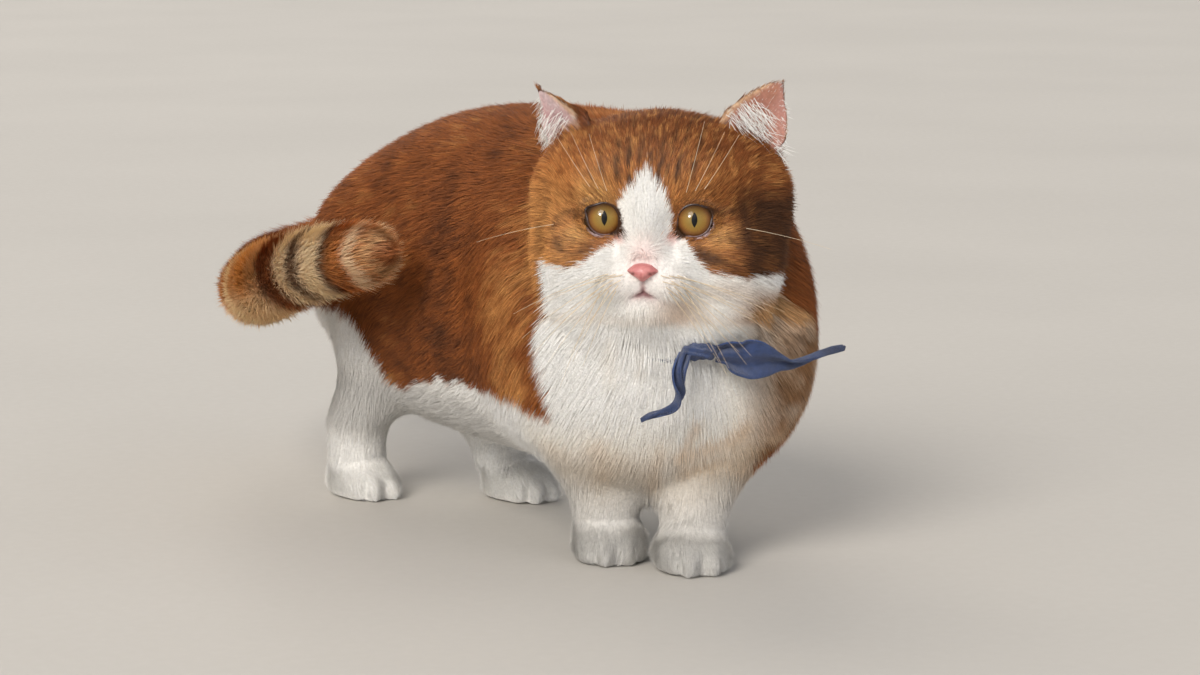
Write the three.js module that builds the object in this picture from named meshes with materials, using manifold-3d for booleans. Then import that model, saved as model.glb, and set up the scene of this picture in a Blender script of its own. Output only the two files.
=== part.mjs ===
// A short-legged munchkin cat at life size, standing and looking round to its right.
// Millimetres, +Z up, the cat heading towards -Y with its left side towards +X.
// Every outline is that of the coat's tips, because the skin lies inside these solids.
import * as THREE from "three";
import Module from "manifold-3d";
import { mergeVertices } from "three/addons/utils/BufferGeometryUtils.js";

const wasm = await Module();
wasm.setup();

// Driving dimensions
const seamGap = 0.3;
const headFineness = { head: 7, room: 4 };
const headTurn = -49;
const headLift = 5;
const headCentre = [-14.1, -121.2, 157.5];
const eyeRadius = 10.6;
const eyeSpread = 20.4;
const eyeHeight = 6.3;
const eyeForward = 31.4;
const eyeHollow = { at: [21.4, 55, 5], size: [14, 15, 10], rim: 4 };
const headBlend = { skull: 6, face: 3, muzzle: 13 };
const noseTip = { forward: 50.5, up: -14.3 };
const earHeight = 48;
const earThickness = 3.2;
const earCup = 7;
const earSetBack = 3;
const earFoot = { back: 3, up: 26 };
const earStance = {
  left: { side: 1, out: 31, width: 18.5, lean: 29, open: 14, taper: 0.1 },
  right: { side: -1, out: 28.5, width: 19.5, lean: 40, open: 34, taper: 0.4 },
};
const tailRadius = 19.5;
const tailSwell = { at: 0.72, reach: 0.16, height: 3 };
const pawRise = 22;
const breastTurn = -30;
const bandTurn = -34;
const bandTilt = 40;
const bandCentre = [-4, -112, 140];
const bandReach = { side: 58, front: 57, back: 74 };
const bandRadius = 5.5;

const coat = { orange: 0x9a5526, white: 0xece6df };
const bare = { ear: 0xd9a79c, nose: 0xd98a86, eye: 0xa07a2a, cloth: 0x2c3f73 };

// Stations of the trunk from rump to breast: the middle of the body seen from above,
// its turn from straight ahead, half its width, and the heights of its top and underside.
const trunkStations = [
  { x: 2, y: 154, turn: 8, half: 14, top: 137, under: 104 },
  { x: 3, y: 149, turn: 8, half: 27, top: 149, under: 90 },
  { x: 5, y: 135, turn: 8, half: 41, top: 162, under: 68 },
  { x: 8, y: 104, turn: 8, half: 50, top: 181, under: 45 },
  { x: 12, y: 60, turn: 5, half: 57, top: 199, under: 35.5 },
  { x: 14, y: 10, turn: -1, half: 67, top: 207, under: 33.5 },
  { x: 13, y: -42, turn: -12, half: 74, top: 207.5, under: 32 },
  { x: 6, y: -92, turn: -25, half: 79, top: 203, under: 27 },
  { x: -6, y: -121, turn: -30, half: 72, top: 184, under: 31 },
  { x: -14, y: -138, turn: -30, half: 58, top: 164, under: 45 },
  { x: -20, y: -149, turn: -30, half: 38, top: 140, under: 65 },
  { x: -23, y: -154, turn: -30, half: 17, top: 120, under: 84 },
];

// Stations of the neck from the breast up to the head.
const neckStations = [
  { x: -2, y: -112, z: 92, half: 58, deep: 40 },
  { x: 0, y: -112, z: 120, half: 63, deep: 42 },
  { x: 1, y: -111, z: 148, half: 64, deep: 40 },
  { x: 2, y: -106, z: 180, half: 50, deep: 36 },
];

// The legs slice by slice from the ground up: height, then the middle of the slice ahead of
// and outside the paw, half the slice's length and half its width.
const legStations = {
  hind: [
    { z: 8, ahead: -5, out: 0, long: 16, wide: 14 },
    { z: 29, ahead: -6, out: 1, long: 18, wide: 17.5 },
    { z: 42, ahead: -1, out: 0, long: 22.5, wide: 17.5 },
    { z: 62, ahead: 10, out: -1, long: 25, wide: 16.5 },
    { z: 92, ahead: 14, out: 2, long: 26, wide: 20.5 },
    { z: 120, ahead: 10, out: 1, long: 27, wide: 21 },
    { z: 140, ahead: 6, out: -7, long: 16, wide: 13 },
  ],
  front: [
    { z: 8, ahead: -5, out: 0, long: 16, wide: 16 },
    { z: 24, ahead: -8, out: 1, long: 17, wide: 18 },
    { z: 42, ahead: -14, out: 4, long: 26, wide: 23 },
    { z: 66, ahead: -17, out: 9, long: 34, wide: 27 },
    { z: 96, ahead: -18, out: 12, long: 34, wide: 28 },
  ],
};
const legTop = { hind: 112, front: 84 };
const wrist = 19;

// Where each paw stands, its turn, its side, and how far its leg leans back and splays out
// for each millimetre of height.
const limbs = {
  front_right: { x: -23, y: -97, turn: -30, side: -1, pair: "front", lean: 0, splay: 0 },
  front_left: { x: -8, y: -138, turn: -26, side: 1, pair: "front", lean: 0.28, splay: 0.27 },
  hind_right: { x: -25, y: 96, turn: -4, side: -1, pair: "hind", lean: 0.02, splay: 0 },
  hind_left: { x: 32, y: 39, turn: 2, side: 1, pair: "hind", lean: 0.76, splay: -0.04 },
};
const pawSize = {
  front: { long: 23, wide: 18.5 },
  hind: { long: 23.5, wide: 16.5 },
};

// The tail's middle line from inside the rump, round its bend, to the tip.
const tailRoute = [
  [9, 136, 130],
  [20, 160, 126],
  [33, 182, 120],
  [37, 204, 113],
  [24, 220, 107],
  [2, 216, 103],
  [-20, 192, 102],
  [-43, 165, 101.5],
  [-67, 126, 108],
  [-84, 82, 120.5],
  [-89, 38, 132],
  [-80, -6, 142],
];
const tailCuts = [0, 0.17, 0.44, 0.72, 1];
const tailRings = [5, 10, 6, 8];

// The scarf's loose ends from the knot outwards: the middle line, half the width of the
// cloth and its twist in degrees at each point.
const hangingEnd = [
  { at: [-29, -161, 102], wide: 4, twist: 0 },
  { at: [-36, -163, 97], wide: 5.5, twist: 0 },
  { at: [-34, -164, 89], wide: 7, twist: 20 },
  { at: [-40, -159, 82], wide: 4.5, twist: 30 },
  { at: [-48, -151, 74], wide: 2.5, twist: 0 },
];
const looseEnd = [
  { at: [-14, -167, 107], wide: 6, twist: 0 },
  { at: [-4, -174, 103], wide: 8, twist: -6 },
  { at: [14, -177, 100], wide: 7, twist: -10 },
  { at: [34, -175, 101], wide: 3.5, twist: 0 },
  { at: [51, -173, 102], wide: 2.2, twist: 0 },
];
const knot = { at: [-23, -163, 106], size: [11, 7, 8] };

const radians = THREE.MathUtils.degToRad;
const upward = new THREE.Vector3(0, 0, 1);

// A closed skin over rings of points whose two ends close on a pole.
function loft(rings, startPole, endPole) {
  const around = rings[0].length;
  const points = [startPole, ...rings.flat(), endPole];
  const triangles = [];
  const last = points.length - 1;
  for (let k = 0; k < around; k += 1) {
    const next = (k + 1) % around;
    triangles.push(0, 1 + next, 1 + k);
    const base = 1 + (rings.length - 1) * around;
    triangles.push(last, base + k, base + next);
    for (let r = 0; r + 1 < rings.length; r += 1) {
      const a = 1 + r * around + k;
      const b = 1 + r * around + next;
      triangles.push(a, b, b + around, a, b + around, a + around);
    }
  }
  const geometry = new THREE.BufferGeometry();
  const flat = points.flatMap((p) => [p.x, p.y, p.z]);
  geometry.setAttribute("position", new THREE.Float32BufferAttribute(flat, 3));
  geometry.setIndex(triangles);
  return geometry;
}

// The solid of a closed geometry, turned right side out where its faces point inwards.
function solidOf(geometry) {
  const plain = geometry.clone();
  plain.deleteAttribute("normal");
  plain.deleteAttribute("uv");
  const merged = mergeVertices(plain, 1e-3);
  const vertProperties = new Float32Array(merged.attributes.position.array);
  const corners = merged.index.array;
  const make = (order) => {
    const triVerts = new Uint32Array(corners.length);
    for (let i = 0; i < corners.length; i += 3) {
      order.forEach((from, to) => {
        triVerts[i + to] = corners[i + from];
      });
    }
    return new wasm.Manifold(new wasm.Mesh({ numProp: 3, vertProperties, triVerts }));
  };
  const solid = make([0, 1, 2]);
  return solid.volume() > 0 ? solid : make([1, 0, 2]);
}

// A value that runs smoothly through the stations as t goes from 0 to 1.
function along(stations, key, t) {
  const last = stations.length - 1;
  const place = t * last;
  const i = Math.min(Math.floor(place), last - 1);
  const f = place - i;
  const at = (n) => {
    if (n < 0) return 2 * stations[0][key] - stations[1][key];
    if (n > last) return 2 * stations[last][key] - stations[last - 1][key];
    return stations[n][key];
  };
  const slope = (at(i + 1) - at(i - 1)) / 2;
  const nextSlope = (at(i + 2) - at(i)) / 2;
  const f2 = f * f;
  const f3 = f2 * f;
  return at(i) * (2 * f3 - 3 * f2 + 1) + slope * (f3 - 2 * f2 + f)
    + at(i + 1) * (3 * f2 - 2 * f3) + nextSlope * (f3 - f2);
}

// Straight ahead and to the left for a body turned by so many degrees to its left.
function heading(turn) {
  const a = radians(turn);
  return {
    ahead: new THREE.Vector3(Math.sin(a), -Math.cos(a), 0),
    left: new THREE.Vector3(Math.cos(a), Math.sin(a), 0),
  };
}

// Rings of points, one for each step of t, each point placed by its angle.
function ringsOf(ringCount, around, pointAt) {
  return Array.from({ length: ringCount }, (_, r) => {
    const t = r / (ringCount - 1);
    return Array.from({ length: around }, (__, k) => pointAt(t, (2 * Math.PI * k) / around));
  });
}

function trunkGeometry() {
  const rings = ringsOf(20, 20, (t, a) => {
    const at = (key) => along(trunkStations, key, t);
    const middle = at("under") + (at("top") - at("under")) * 0.46;
    const side = Math.sign(Math.cos(a)) * Math.abs(Math.cos(a)) ** 0.82;
    const rise = Math.sin(a);
    const up = rise * (rise > 0 ? at("top") - middle : middle - at("under"));
    return new THREE.Vector3(at("x"), at("y"), middle + up)
      .addScaledVector(heading(at("turn")).left, side * at("half"));
  });
  const pole = (station, reach) => {
    const middle = (station.top + station.under) / 2;
    return new THREE.Vector3(station.x, station.y, middle)
      .addScaledVector(heading(station.turn).ahead, reach);
  };
  return loft(rings, pole(trunkStations[0], -2), pole(trunkStations.at(-1), 3));
}

function neckGeometry() {
  const { ahead, left } = heading(bandTurn);
  const rings = ringsOf(6, 18, (t, a) => {
    const at = (key) => along(neckStations, key, t);
    return new THREE.Vector3(at("x"), at("y"), at("z"))
      .addScaledVector(left, Math.cos(a) * at("half"))
      .addScaledVector(ahead, Math.sin(a) * at("deep"));
  });
  const pole = (station, rise) => new THREE.Vector3(station.x, station.y, station.z + rise);
  return loft(rings, pole(neckStations[0], -20), pole(neckStations.at(-1), 16));
}

function legGeometry(limb, ringCount, around, grow) {
  const stations = legStations[limb.pair];
  const { ahead, left } = heading(limb.turn);
  const middle = (at) => {
    const above = at("z") - stations[0].z;
    return new THREE.Vector3(limb.x, limb.y, at("z"))
      .addScaledVector(ahead, at("ahead") - limb.lean * above)
      .addScaledVector(left, (at("out") + limb.splay * above) * limb.side);
  };
  const rings = ringsOf(ringCount, around, (t, a) => {
    const at = (key) => along(stations, key, t);
    return middle(at)
      .addScaledVector(ahead, Math.sin(a) * (at("long") + grow))
      .addScaledVector(left, Math.cos(a) * (at("wide") + grow));
  });
  const pole = (t, rise) => {
    const point = middle((key) => along(stations, key, t));
    point.z += rise;
    return point;
  };
  return loft(rings, pole(0, -2), pole(1, 5 + grow));
}

// A paw: a low dome, longer than wide, with four toes bulging in front.
function pawGeometry(limb) {
  const { long, wide } = pawSize[limb.pair];
  const { ahead, left } = heading(limb.turn);
  const below = 2;
  const rings = ringsOf(5, 16, (t, a) => {
    const swell = Math.sqrt(Math.max(0, 1 - ((t - 0.3) / 0.86) ** 2));
    const front = Math.max(0, Math.sin(a));
    const toes = 1 + 0.06 * front * Math.cos(8 * (a - Math.PI / 2) + Math.PI);
    const side = Math.sign(Math.cos(a)) * Math.abs(Math.cos(a)) ** 0.8;
    const slope = -7 * t * front;
    return new THREE.Vector3(limb.x, limb.y, -below + t * (pawRise + below))
      .addScaledVector(ahead, slope + Math.sin(a) * long * swell * toes)
      .addScaledVector(left, side * wide * swell * toes);
  });
  const pole = (z) => new THREE.Vector3(limb.x, limb.y, z);
  return loft(rings, pole(-below - 1), pole(pawRise + 1.5));
}

// The masses of the head: middle to the left of, ahead of and above the head's centre,
// and half sizes in the same order. A paired mass has its like on the other side.
const headMasses = [
  { name: "skull", at: [0, -6, 9], size: [53, 46, 47] },
  { name: "temple", at: [32, -8, 17], size: [27, 30, 27], paired: true },
  { name: "cheek", at: [28, 4, -13], size: [29, 34, 27], paired: true },
  { name: "jowl", at: [21, 2, -34], size: [28, 30, 22], paired: true },
  { name: "throat", at: [0, 8, -39], size: [32, 26, 20] },
  { name: "brow", at: [19, 22, 20], size: [18, 16, 13], paired: true },
];
const faceMasses = [
  { name: "whisker pad", at: [9, 36, -21], size: [13, 16, 11], paired: true },
  { name: "nose bridge", at: [0, 30, -2], size: [10, 20, 18] },
  { name: "nose root", at: [0, 42, -13], size: [7, 9, 7] },
  { name: "chin", at: [0, 33, -33], size: [12, 13, 9] },
];

// Nearly the distance of a point from the surface of one ellipsoid.
function massDistance(point, at, size) {
  const q = point.map((v, i) => (v - at[i]) / size[i]);
  const near = Math.hypot(...q);
  const steep = Math.hypot(...q.map((v, i) => v / size[i]));
  return steep === 0 ? -Math.min(...size) : (near * (near - 1)) / steep;
}

// The distance from a group of masses that run into each other over a few millimetres.
function groupDistance(masses, blend, [left, ahead, up]) {
  let sum = 0;
  for (const mass of masses) {
    for (const side of mass.paired ? [-1, 1] : [1]) {
      sum += Math.exp(-massDistance([side * left, ahead, up], mass.at, mass.size) / blend);
    }
  }
  return -blend * Math.log(sum);
}

// How far a point is outside the head: the skull and cheeks, the muzzle on them, and a
// shallow hollow for each eye.
function headField(point) {
  const big = groupDistance(headMasses, headBlend.skull, point);
  const small = groupDistance(faceMasses, headBlend.face, point);
  const meet = Math.max(headBlend.muzzle - Math.abs(big - small), 0) / headBlend.muzzle;
  const skin = Math.min(big, small) - (meet * meet * headBlend.muzzle) / 4;
  const [left, ahead, up] = point;
  const { at, size, rim } = eyeHollow;
  const hollow = massDistance([Math.abs(left), ahead, up], at, size);
  const soft = Math.max(rim - Math.abs(skin + hollow), 0) / rim;
  return Math.max(skin, -hollow) + (soft * soft * rim) / 4;
}

// The head's frame has x to its left, y backwards and z up.
const headFrame = new THREE.Matrix4().makeTranslation(...headCentre)
  .multiply(new THREE.Matrix4().makeRotationZ(radians(headTurn)))
  .multiply(new THREE.Matrix4().makeRotationX(radians(-headLift)));

function headPoint([left, ahead, up]) {
  return new THREE.Vector3(left, -ahead, up).applyMatrix4(headFrame);
}

// Every vertex of a geometry moved by a function of its place.
function reshape(geometry, move) {
  const place = geometry.attributes.position;
  for (let i = 0; i < place.count; i += 1) {
    const point = move(new THREE.Vector3().fromBufferAttribute(place, i));
    place.setXYZ(i, point.x, point.y, point.z);
  }
  return geometry;
}

function headGeometry(fineness, grow) {
  const halvings = 24;
  return reshape(new THREE.IcosahedronGeometry(1, fineness), (way) => {
    let near = 10;
    let far = 90;
    for (let step = 0; step < halvings; step += 1) {
      const reach = (near + far) / 2;
      const outside = headField([way.x * reach, -way.y * reach, way.z * reach]) > grow;
      if (outside) far = reach;
      else near = reach;
    }
    return way.multiplyScalar(near).applyMatrix4(headFrame);
  });
}

// An ear: a pointed leaf cupped forwards, its foot inside the head.
function earGeometry({ side, out, width, lean, open, taper }) {
  const backward = new THREE.Vector3(0, 1, 0);
  return reshape(new THREE.SphereGeometry(1, 10, 8), (p) => {
    const height = p.y * 0.5 + 0.5;
    const narrow = (1.18 - 0.76 * height ** 1.5) * (1 - taper * height ** 4);
    const across = p.x * width * narrow;
    const cup = (across / width) ** 2 * earCup * (1 - 0.45 * height);
    const thick = p.z * earThickness - earSetBack + cup;
    return new THREE.Vector3(across, -thick, height * earHeight)
      .applyAxisAngle(upward, radians(side * open))
      .applyAxisAngle(backward, radians(side * lean))
      .add(new THREE.Vector3(side * out, earFoot.back, earFoot.up))
      .applyMatrix4(headFrame);
  });
}

function eyeGeometry(side, grow) {
  const centre = headPoint([side * eyeSpread, eyeForward, eyeHeight]);
  return new THREE.SphereGeometry(eyeRadius + grow, 12, 7).translate(...centre);
}

function noseGeometry(grow) {
  const size = [6.6 + grow, 6 + grow, 4.6 + grow];
  return reshape(new THREE.SphereGeometry(1, 10, 7), (p) => {
    const narrow = 0.62 + 0.38 * Math.min(1, Math.max(0, (p.z + 1) / 1.3));
    return headPoint([
      p.x * size[0] * narrow,
      noseTip.forward - p.y * size[1],
      noseTip.up + p.z * size[2],
    ]);
  });
}

// A bar swept along a curve. section(t) gives its place on the curve, half width, half
// depth and twist, and facing is the way that its depth points.
function sweep(curve, ringCount, around, facing, section) {
  const rings = ringsOf(ringCount, around, (t, a) => {
    const { place, wide, deep, twist } = section(t);
    const way = curve.getTangentAt(place);
    const side = new THREE.Vector3().crossVectors(way, facing).normalize();
    const rise = new THREE.Vector3().crossVectors(side, way).normalize();
    side.applyAxisAngle(way, twist);
    rise.applyAxisAngle(way, twist);
    return curve.getPointAt(place)
      .addScaledVector(side, Math.cos(a) * wide)
      .addScaledVector(rise, Math.sin(a) * deep);
  });
  return loft(rings, curve.getPointAt(section(0).place), curve.getPointAt(section(1).place));
}

const curveOf = (points) =>
  new THREE.CatmullRomCurve3(points.map((point) => new THREE.Vector3(...point)));

// One length of the tail, between two places on its route. The last one has a round end.
const tailCurve = curveOf(tailRoute);
const tailReach = tailCurve.getLength();
function tailGeometry(from, to, ringCount, grow) {
  const start = from + (from > 0 ? seamGap / 2 / tailReach : 0);
  const end = to - (to < 1 ? seamGap / 2 / tailReach : 0);
  return sweep(tailCurve, ringCount, 11, upward, (t) => {
    const place = start + (end - start) * (to < 1 ? t : 1 - (1 - t) ** 1.5);
    const short = Math.max(0, tailRadius - (1 - place) * tailReach - 0.4);
    const swell = tailSwell.height * Math.exp(-(((place - tailSwell.at) / tailSwell.reach) ** 2));
    const radius = Math.sqrt(tailRadius ** 2 - short ** 2) + swell + grow;
    return { place, wide: radius, deep: radius, twist: 0 };
  });
}

const breastWay = heading(breastTurn).ahead;
function clothGeometry(stations, grow) {
  const halfThick = 2;
  const curve = curveOf(stations.map((station) => station.at));
  return sweep(curve, 9, 8, breastWay, (t) => ({
    place: t,
    wide: along(stations, "wide", t) + grow,
    deep: halfThick + grow,
    twist: radians(along(stations, "twist", t)),
  }));
}

// The plane of the scarf's band, low in front and high behind.
const bandFrame = new THREE.Matrix4().makeTranslation(...bandCentre)
  .multiply(new THREE.Matrix4().makeRotationZ(radians(bandTurn)))
  .multiply(new THREE.Matrix4().makeRotationX(radians(bandTilt)));

function bandGeometry(grow) {
  const round = 50;
  return reshape(new THREE.TorusGeometry(round, bandRadius + grow, 6, 18), (p) => {
    const a = Math.atan2(p.y, p.x);
    const fore = Math.sin(a) < 0 ? bandReach.front : bandReach.back;
    const reach = Math.hypot(bandReach.side * Math.cos(a), fore * Math.sin(a));
    const out = reach + Math.hypot(p.x, p.y) - round;
    return new THREE.Vector3(out * Math.cos(a), out * Math.sin(a), p.z).applyMatrix4(bandFrame);
  });
}

function knotGeometry(grow) {
  return new THREE.SphereGeometry(1, 8, 6)
    .scale(...knot.size.map((v) => v + grow))
    .rotateZ(radians(bandTurn))
    .translate(...knot.at);
}

// Everything that lies on one side of a plane, half a seam away from it.
function beyond(point, way) {
  const reach = 700;
  const turn = new THREE.Quaternion().setFromUnitVectors(upward, way.clone().normalize());
  const box = new THREE.BoxGeometry(reach, reach, reach);
  box.translate(0, 0, reach / 2 + seamGap / 2);
  box.applyQuaternion(turn);
  return solidOf(box.translate(...point));
}

function carve(solid, cutters) {
  return cutters.reduce((left, cutter) => left.subtract(cutter), solid);
}

// The main body of a cut, without the slivers that a cut may leave.
function mainBody(solid) {
  return solid.decompose().reduce((a, b) => (a.volume() > b.volume() ? a : b));
}

const group = new THREE.Group();

function add(name, solid, colour, roughness = 0.9) {
  const mesh = mainBody(solid).getMesh();
  const place = new THREE.BufferAttribute(new Float32Array(mesh.vertProperties), 3);
  const geometry = new THREE.BufferGeometry();
  geometry.setAttribute("position", place);
  geometry.setIndex(new THREE.BufferAttribute(mesh.triVerts, 1));
  const material = new THREE.MeshStandardMaterial({ color: colour, roughness, metalness: 0 });
  const made = new THREE.Mesh(geometry, material);
  made.name = name;
  group.add(made);
}

const ground = solidOf(new THREE.BoxGeometry(900, 900, 40).translate(0, 0, -20));
const sides = { left: 1, right: -1 };

const scarf = {
  scarf_band: bandGeometry,
  scarf_knot: knotGeometry,
  scarf_end_hanging: (grow) => clothGeometry(hangingEnd, grow),
  scarf_end_loose: (grow) => clothGeometry(looseEnd, grow),
};
const scarfRoom = Object.values(scarf).map((shape) => solidOf(shape(seamGap)));

// The eyes and the nose first, then the head round them, and the ears on the head.
const faceRoom = Object.values(sides).map((side) => solidOf(eyeGeometry(side, seamGap)));
faceRoom.push(solidOf(noseGeometry(seamGap)));
for (const [name, side] of Object.entries(sides)) {
  add("eye_" + name, solidOf(eyeGeometry(side, 0)), bare.eye, 0.1);
}
add("nose", solidOf(noseGeometry(0)), bare.nose, 0.5);
const headRoom = solidOf(headGeometry(headFineness.room, 4 * seamGap));
const wholeHead = solidOf(headGeometry(headFineness.head, 0));
add("head", carve(wholeHead, [...faceRoom, ...scarfRoom.slice(0, 2)]), coat.orange);
for (const [name, stance] of Object.entries(earStance)) {
  add("ear_" + name, solidOf(earGeometry(stance)).subtract(headRoom), bare.ear);
}

const tailRoom = solidOf(tailGeometry(0, tailCuts[1], tailRings[0], seamGap));

// The trunk, the neck and the limbs as one, which thin cuts then part: each paw at its
// wrist, each leg round its own stretch, and the rest across the body and along the band.
let body = solidOf(trunkGeometry()).add(solidOf(neckGeometry()));
const level = (z) => new THREE.Vector3(0, 0, z);
const abovePaws = beyond(level(wrist), upward);
const belowWrist = beyond(level(wrist), level(-1));
for (const [name, limb] of Object.entries(limbs)) {
  const whole = solidOf(legGeometry(limb, 7, 11, 0)).add(solidOf(pawGeometry(limb)));
  add("paw_" + name, whole.intersect(belowWrist).subtract(ground), coat.white);
  body = body.add(whole.intersect(abovePaws));
}
body = body.subtract(tailRoom);
const spare = 5;
for (const [name, limb] of Object.entries(limbs)) {
  const top = level(legTop[limb.pair]);
  const room = (grow, slack) => solidOf(legGeometry(limb, 5, 7, spare + grow))
    .intersect(beyond(top.clone().setZ(top.z + slack), level(-1)));
  add("leg_" + name, body.intersect(room(0, 0)), coat.white);
  body = body.subtract(room(seamGap, seamGap));
}

const torso = carve(body, [headRoom, ...scarfRoom]);
const bandWay = new THREE.Vector3(0, 0, 1).transformDirection(bandFrame);
const neckSide = beyond(bandCentre, bandWay);
const bodySide = beyond(bandCentre, bandWay.clone().negate());
const cuts = { ribs: { at: [14, -50, 0], turn: -14 }, loin: { at: [12, 60, 0], turn: 5 } };
const parted = (solid, cut) => {
  const way = heading(cut.turn).ahead;
  return [way, way.clone().negate()].map((side) => solid.intersect(beyond(cut.at, side)));
};
add("neck", torso.intersect(neckSide), coat.orange);
const [chest, barrel] = parted(torso.intersect(bodySide), cuts.ribs);
const [belly, rump] = parted(barrel, cuts.loin);
add("chest", chest, coat.white);
add("belly", belly, coat.orange);
add("rump", rump, coat.orange);

tailRings.forEach((ringCount, i) => {
  const length = solidOf(tailGeometry(tailCuts[i], tailCuts[i + 1], ringCount, 0));
  add("tail_" + (i + 1), length, coat.orange);
});

// Each piece of the scarf makes way for those before it.
Object.entries(scarf).forEach(([name, shape], i) => {
  add(name, carve(solidOf(shape(0)), scarfRoom.slice(0, i)), bare.cloth);
});

// The origin is on the ground under the middle of the whole animal.
group.updateMatrixWorld(true);
const middle = new THREE.Box3().setFromObject(group).getCenter(new THREE.Vector3());
group.position.set(-Math.round(middle.x), -Math.round(middle.y), 0);

export default group;
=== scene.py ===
import math
import time
import bmesh
import bpy
import numpy as np
from mathutils import Matrix, Vector
from mathutils.bvhtree import BVHTree


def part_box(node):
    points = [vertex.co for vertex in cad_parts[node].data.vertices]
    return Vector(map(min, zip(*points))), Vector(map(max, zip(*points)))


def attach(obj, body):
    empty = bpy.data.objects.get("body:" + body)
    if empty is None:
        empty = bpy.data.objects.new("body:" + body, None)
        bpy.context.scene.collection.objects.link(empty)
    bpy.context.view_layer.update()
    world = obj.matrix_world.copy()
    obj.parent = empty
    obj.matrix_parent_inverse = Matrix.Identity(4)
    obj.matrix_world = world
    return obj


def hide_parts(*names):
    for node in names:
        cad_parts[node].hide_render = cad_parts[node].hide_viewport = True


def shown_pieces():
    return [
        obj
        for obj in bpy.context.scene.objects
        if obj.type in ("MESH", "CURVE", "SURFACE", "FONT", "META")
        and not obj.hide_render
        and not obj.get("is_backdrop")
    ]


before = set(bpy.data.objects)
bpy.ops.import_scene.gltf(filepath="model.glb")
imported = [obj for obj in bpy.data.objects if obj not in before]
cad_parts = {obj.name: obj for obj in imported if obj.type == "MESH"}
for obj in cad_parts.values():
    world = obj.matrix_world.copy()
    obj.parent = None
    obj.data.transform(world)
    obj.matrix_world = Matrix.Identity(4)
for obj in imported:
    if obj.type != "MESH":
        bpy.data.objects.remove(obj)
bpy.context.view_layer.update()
started = time.perf_counter()

# Shapes are worked out in millimetres and written to the meshes in metres.
mm = 0.001
draws = np.random.default_rng(7)


def say(stage):
    print(f"{time.perf_counter() - started:6.1f} s  {stage}", flush=True)


# Small sums

def unit(vectors):
    return vectors / np.maximum(np.linalg.norm(vectors, axis=-1, keepdims=True), 1e-9)


def ease(low, high, value):
    share = np.clip((value - low) / (high - low), 0, 1)
    return share * share * (3 - 2 * share)


def bell(distance, width):
    return np.exp(-((distance / width) ** 2))


def mix(first, second, share):
    return first + (second - first) * share


def dots(first, second):
    return (first * second).sum(-1)


def curved(a, b, c, d, t):
    # a place between b and c on the smooth line through four stations
    return 0.5 * (2 * b + (c - a) * t + (2 * a - 5 * b + 4 * c - d) * t ** 2
                  + (3 * b - a - 3 * c + d) * t ** 3)


def tone(red, green, blue):
    # a colour as a paint chart gives it, 0 to 255, made linear
    values = np.array([red, green, blue]) / 255
    return np.where(values <= 0.04045, values / 12.92, ((values + 0.055) / 1.055) ** 2.4)


def drift(points, size, seed):
    # smooth noise from -1 to 1 that changes over about so many millimetres
    place = points / size + seed * 7.31
    cell = np.floor(place).astype(np.int64)
    part = place - cell
    part = part * part * (3 - 2 * part)
    total = np.zeros(len(points))
    for corner in range(8):
        step = np.array([corner & 1, corner >> 1 & 1, corner >> 2 & 1])
        x, y, z = (cell + step).T
        mixed = (x * 73856093 ^ y * 19349663 ^ z * 83492791 ^ seed * 26544357) & 0xFFFFFFFF
        mixed = ((mixed ^ mixed >> 13) * 1274126177) & 0xFFFFFFFF
        value = (mixed >> 8 & 0xFFFF) / 32767.5 - 1
        total += value * np.prod(np.where(step, part, 1 - part), axis=1)
    return total


def heading(turn):
    # straight ahead and to the left on the ground, for a body turned so many degrees to its left
    a = math.radians(turn)
    return np.array([math.sin(a), -math.cos(a), 0]), np.array([math.cos(a), math.sin(a), 0])


def boxOf(node):
    low, high = (np.array(corner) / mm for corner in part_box(node))
    return low, high


# Camera, light and floor

view = {
    "place": (-1.0501, -1.358, 0.3664), "tilt": 80.796, "turn": -40, "lens": 105,
    "floorTone": tone(203, 199, 193), "worldTone": tone(236, 238, 242), "worldPower": 0.42,
}
# the far soft lights: the way they come from, how wide they look in degrees, their strength and tone
suns = {
    "key": ((-0.97, -0.42, 0.78), 30, 2.5, tone(255, 249, 240)),
    "fill": ((0.25, -0.97, 0.3), 60, 0.42, tone(245, 246, 255)),
    "rim": ((0.35, 1.0, 0.9), 40, 0.8, tone(255, 246, 232)),
}
# a window beside the camera, which only shows in the eyes and on the wet nose
window = {"place": (-1.75, -0.85, 1.05), "size": 0.42, "power": 42}


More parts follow.
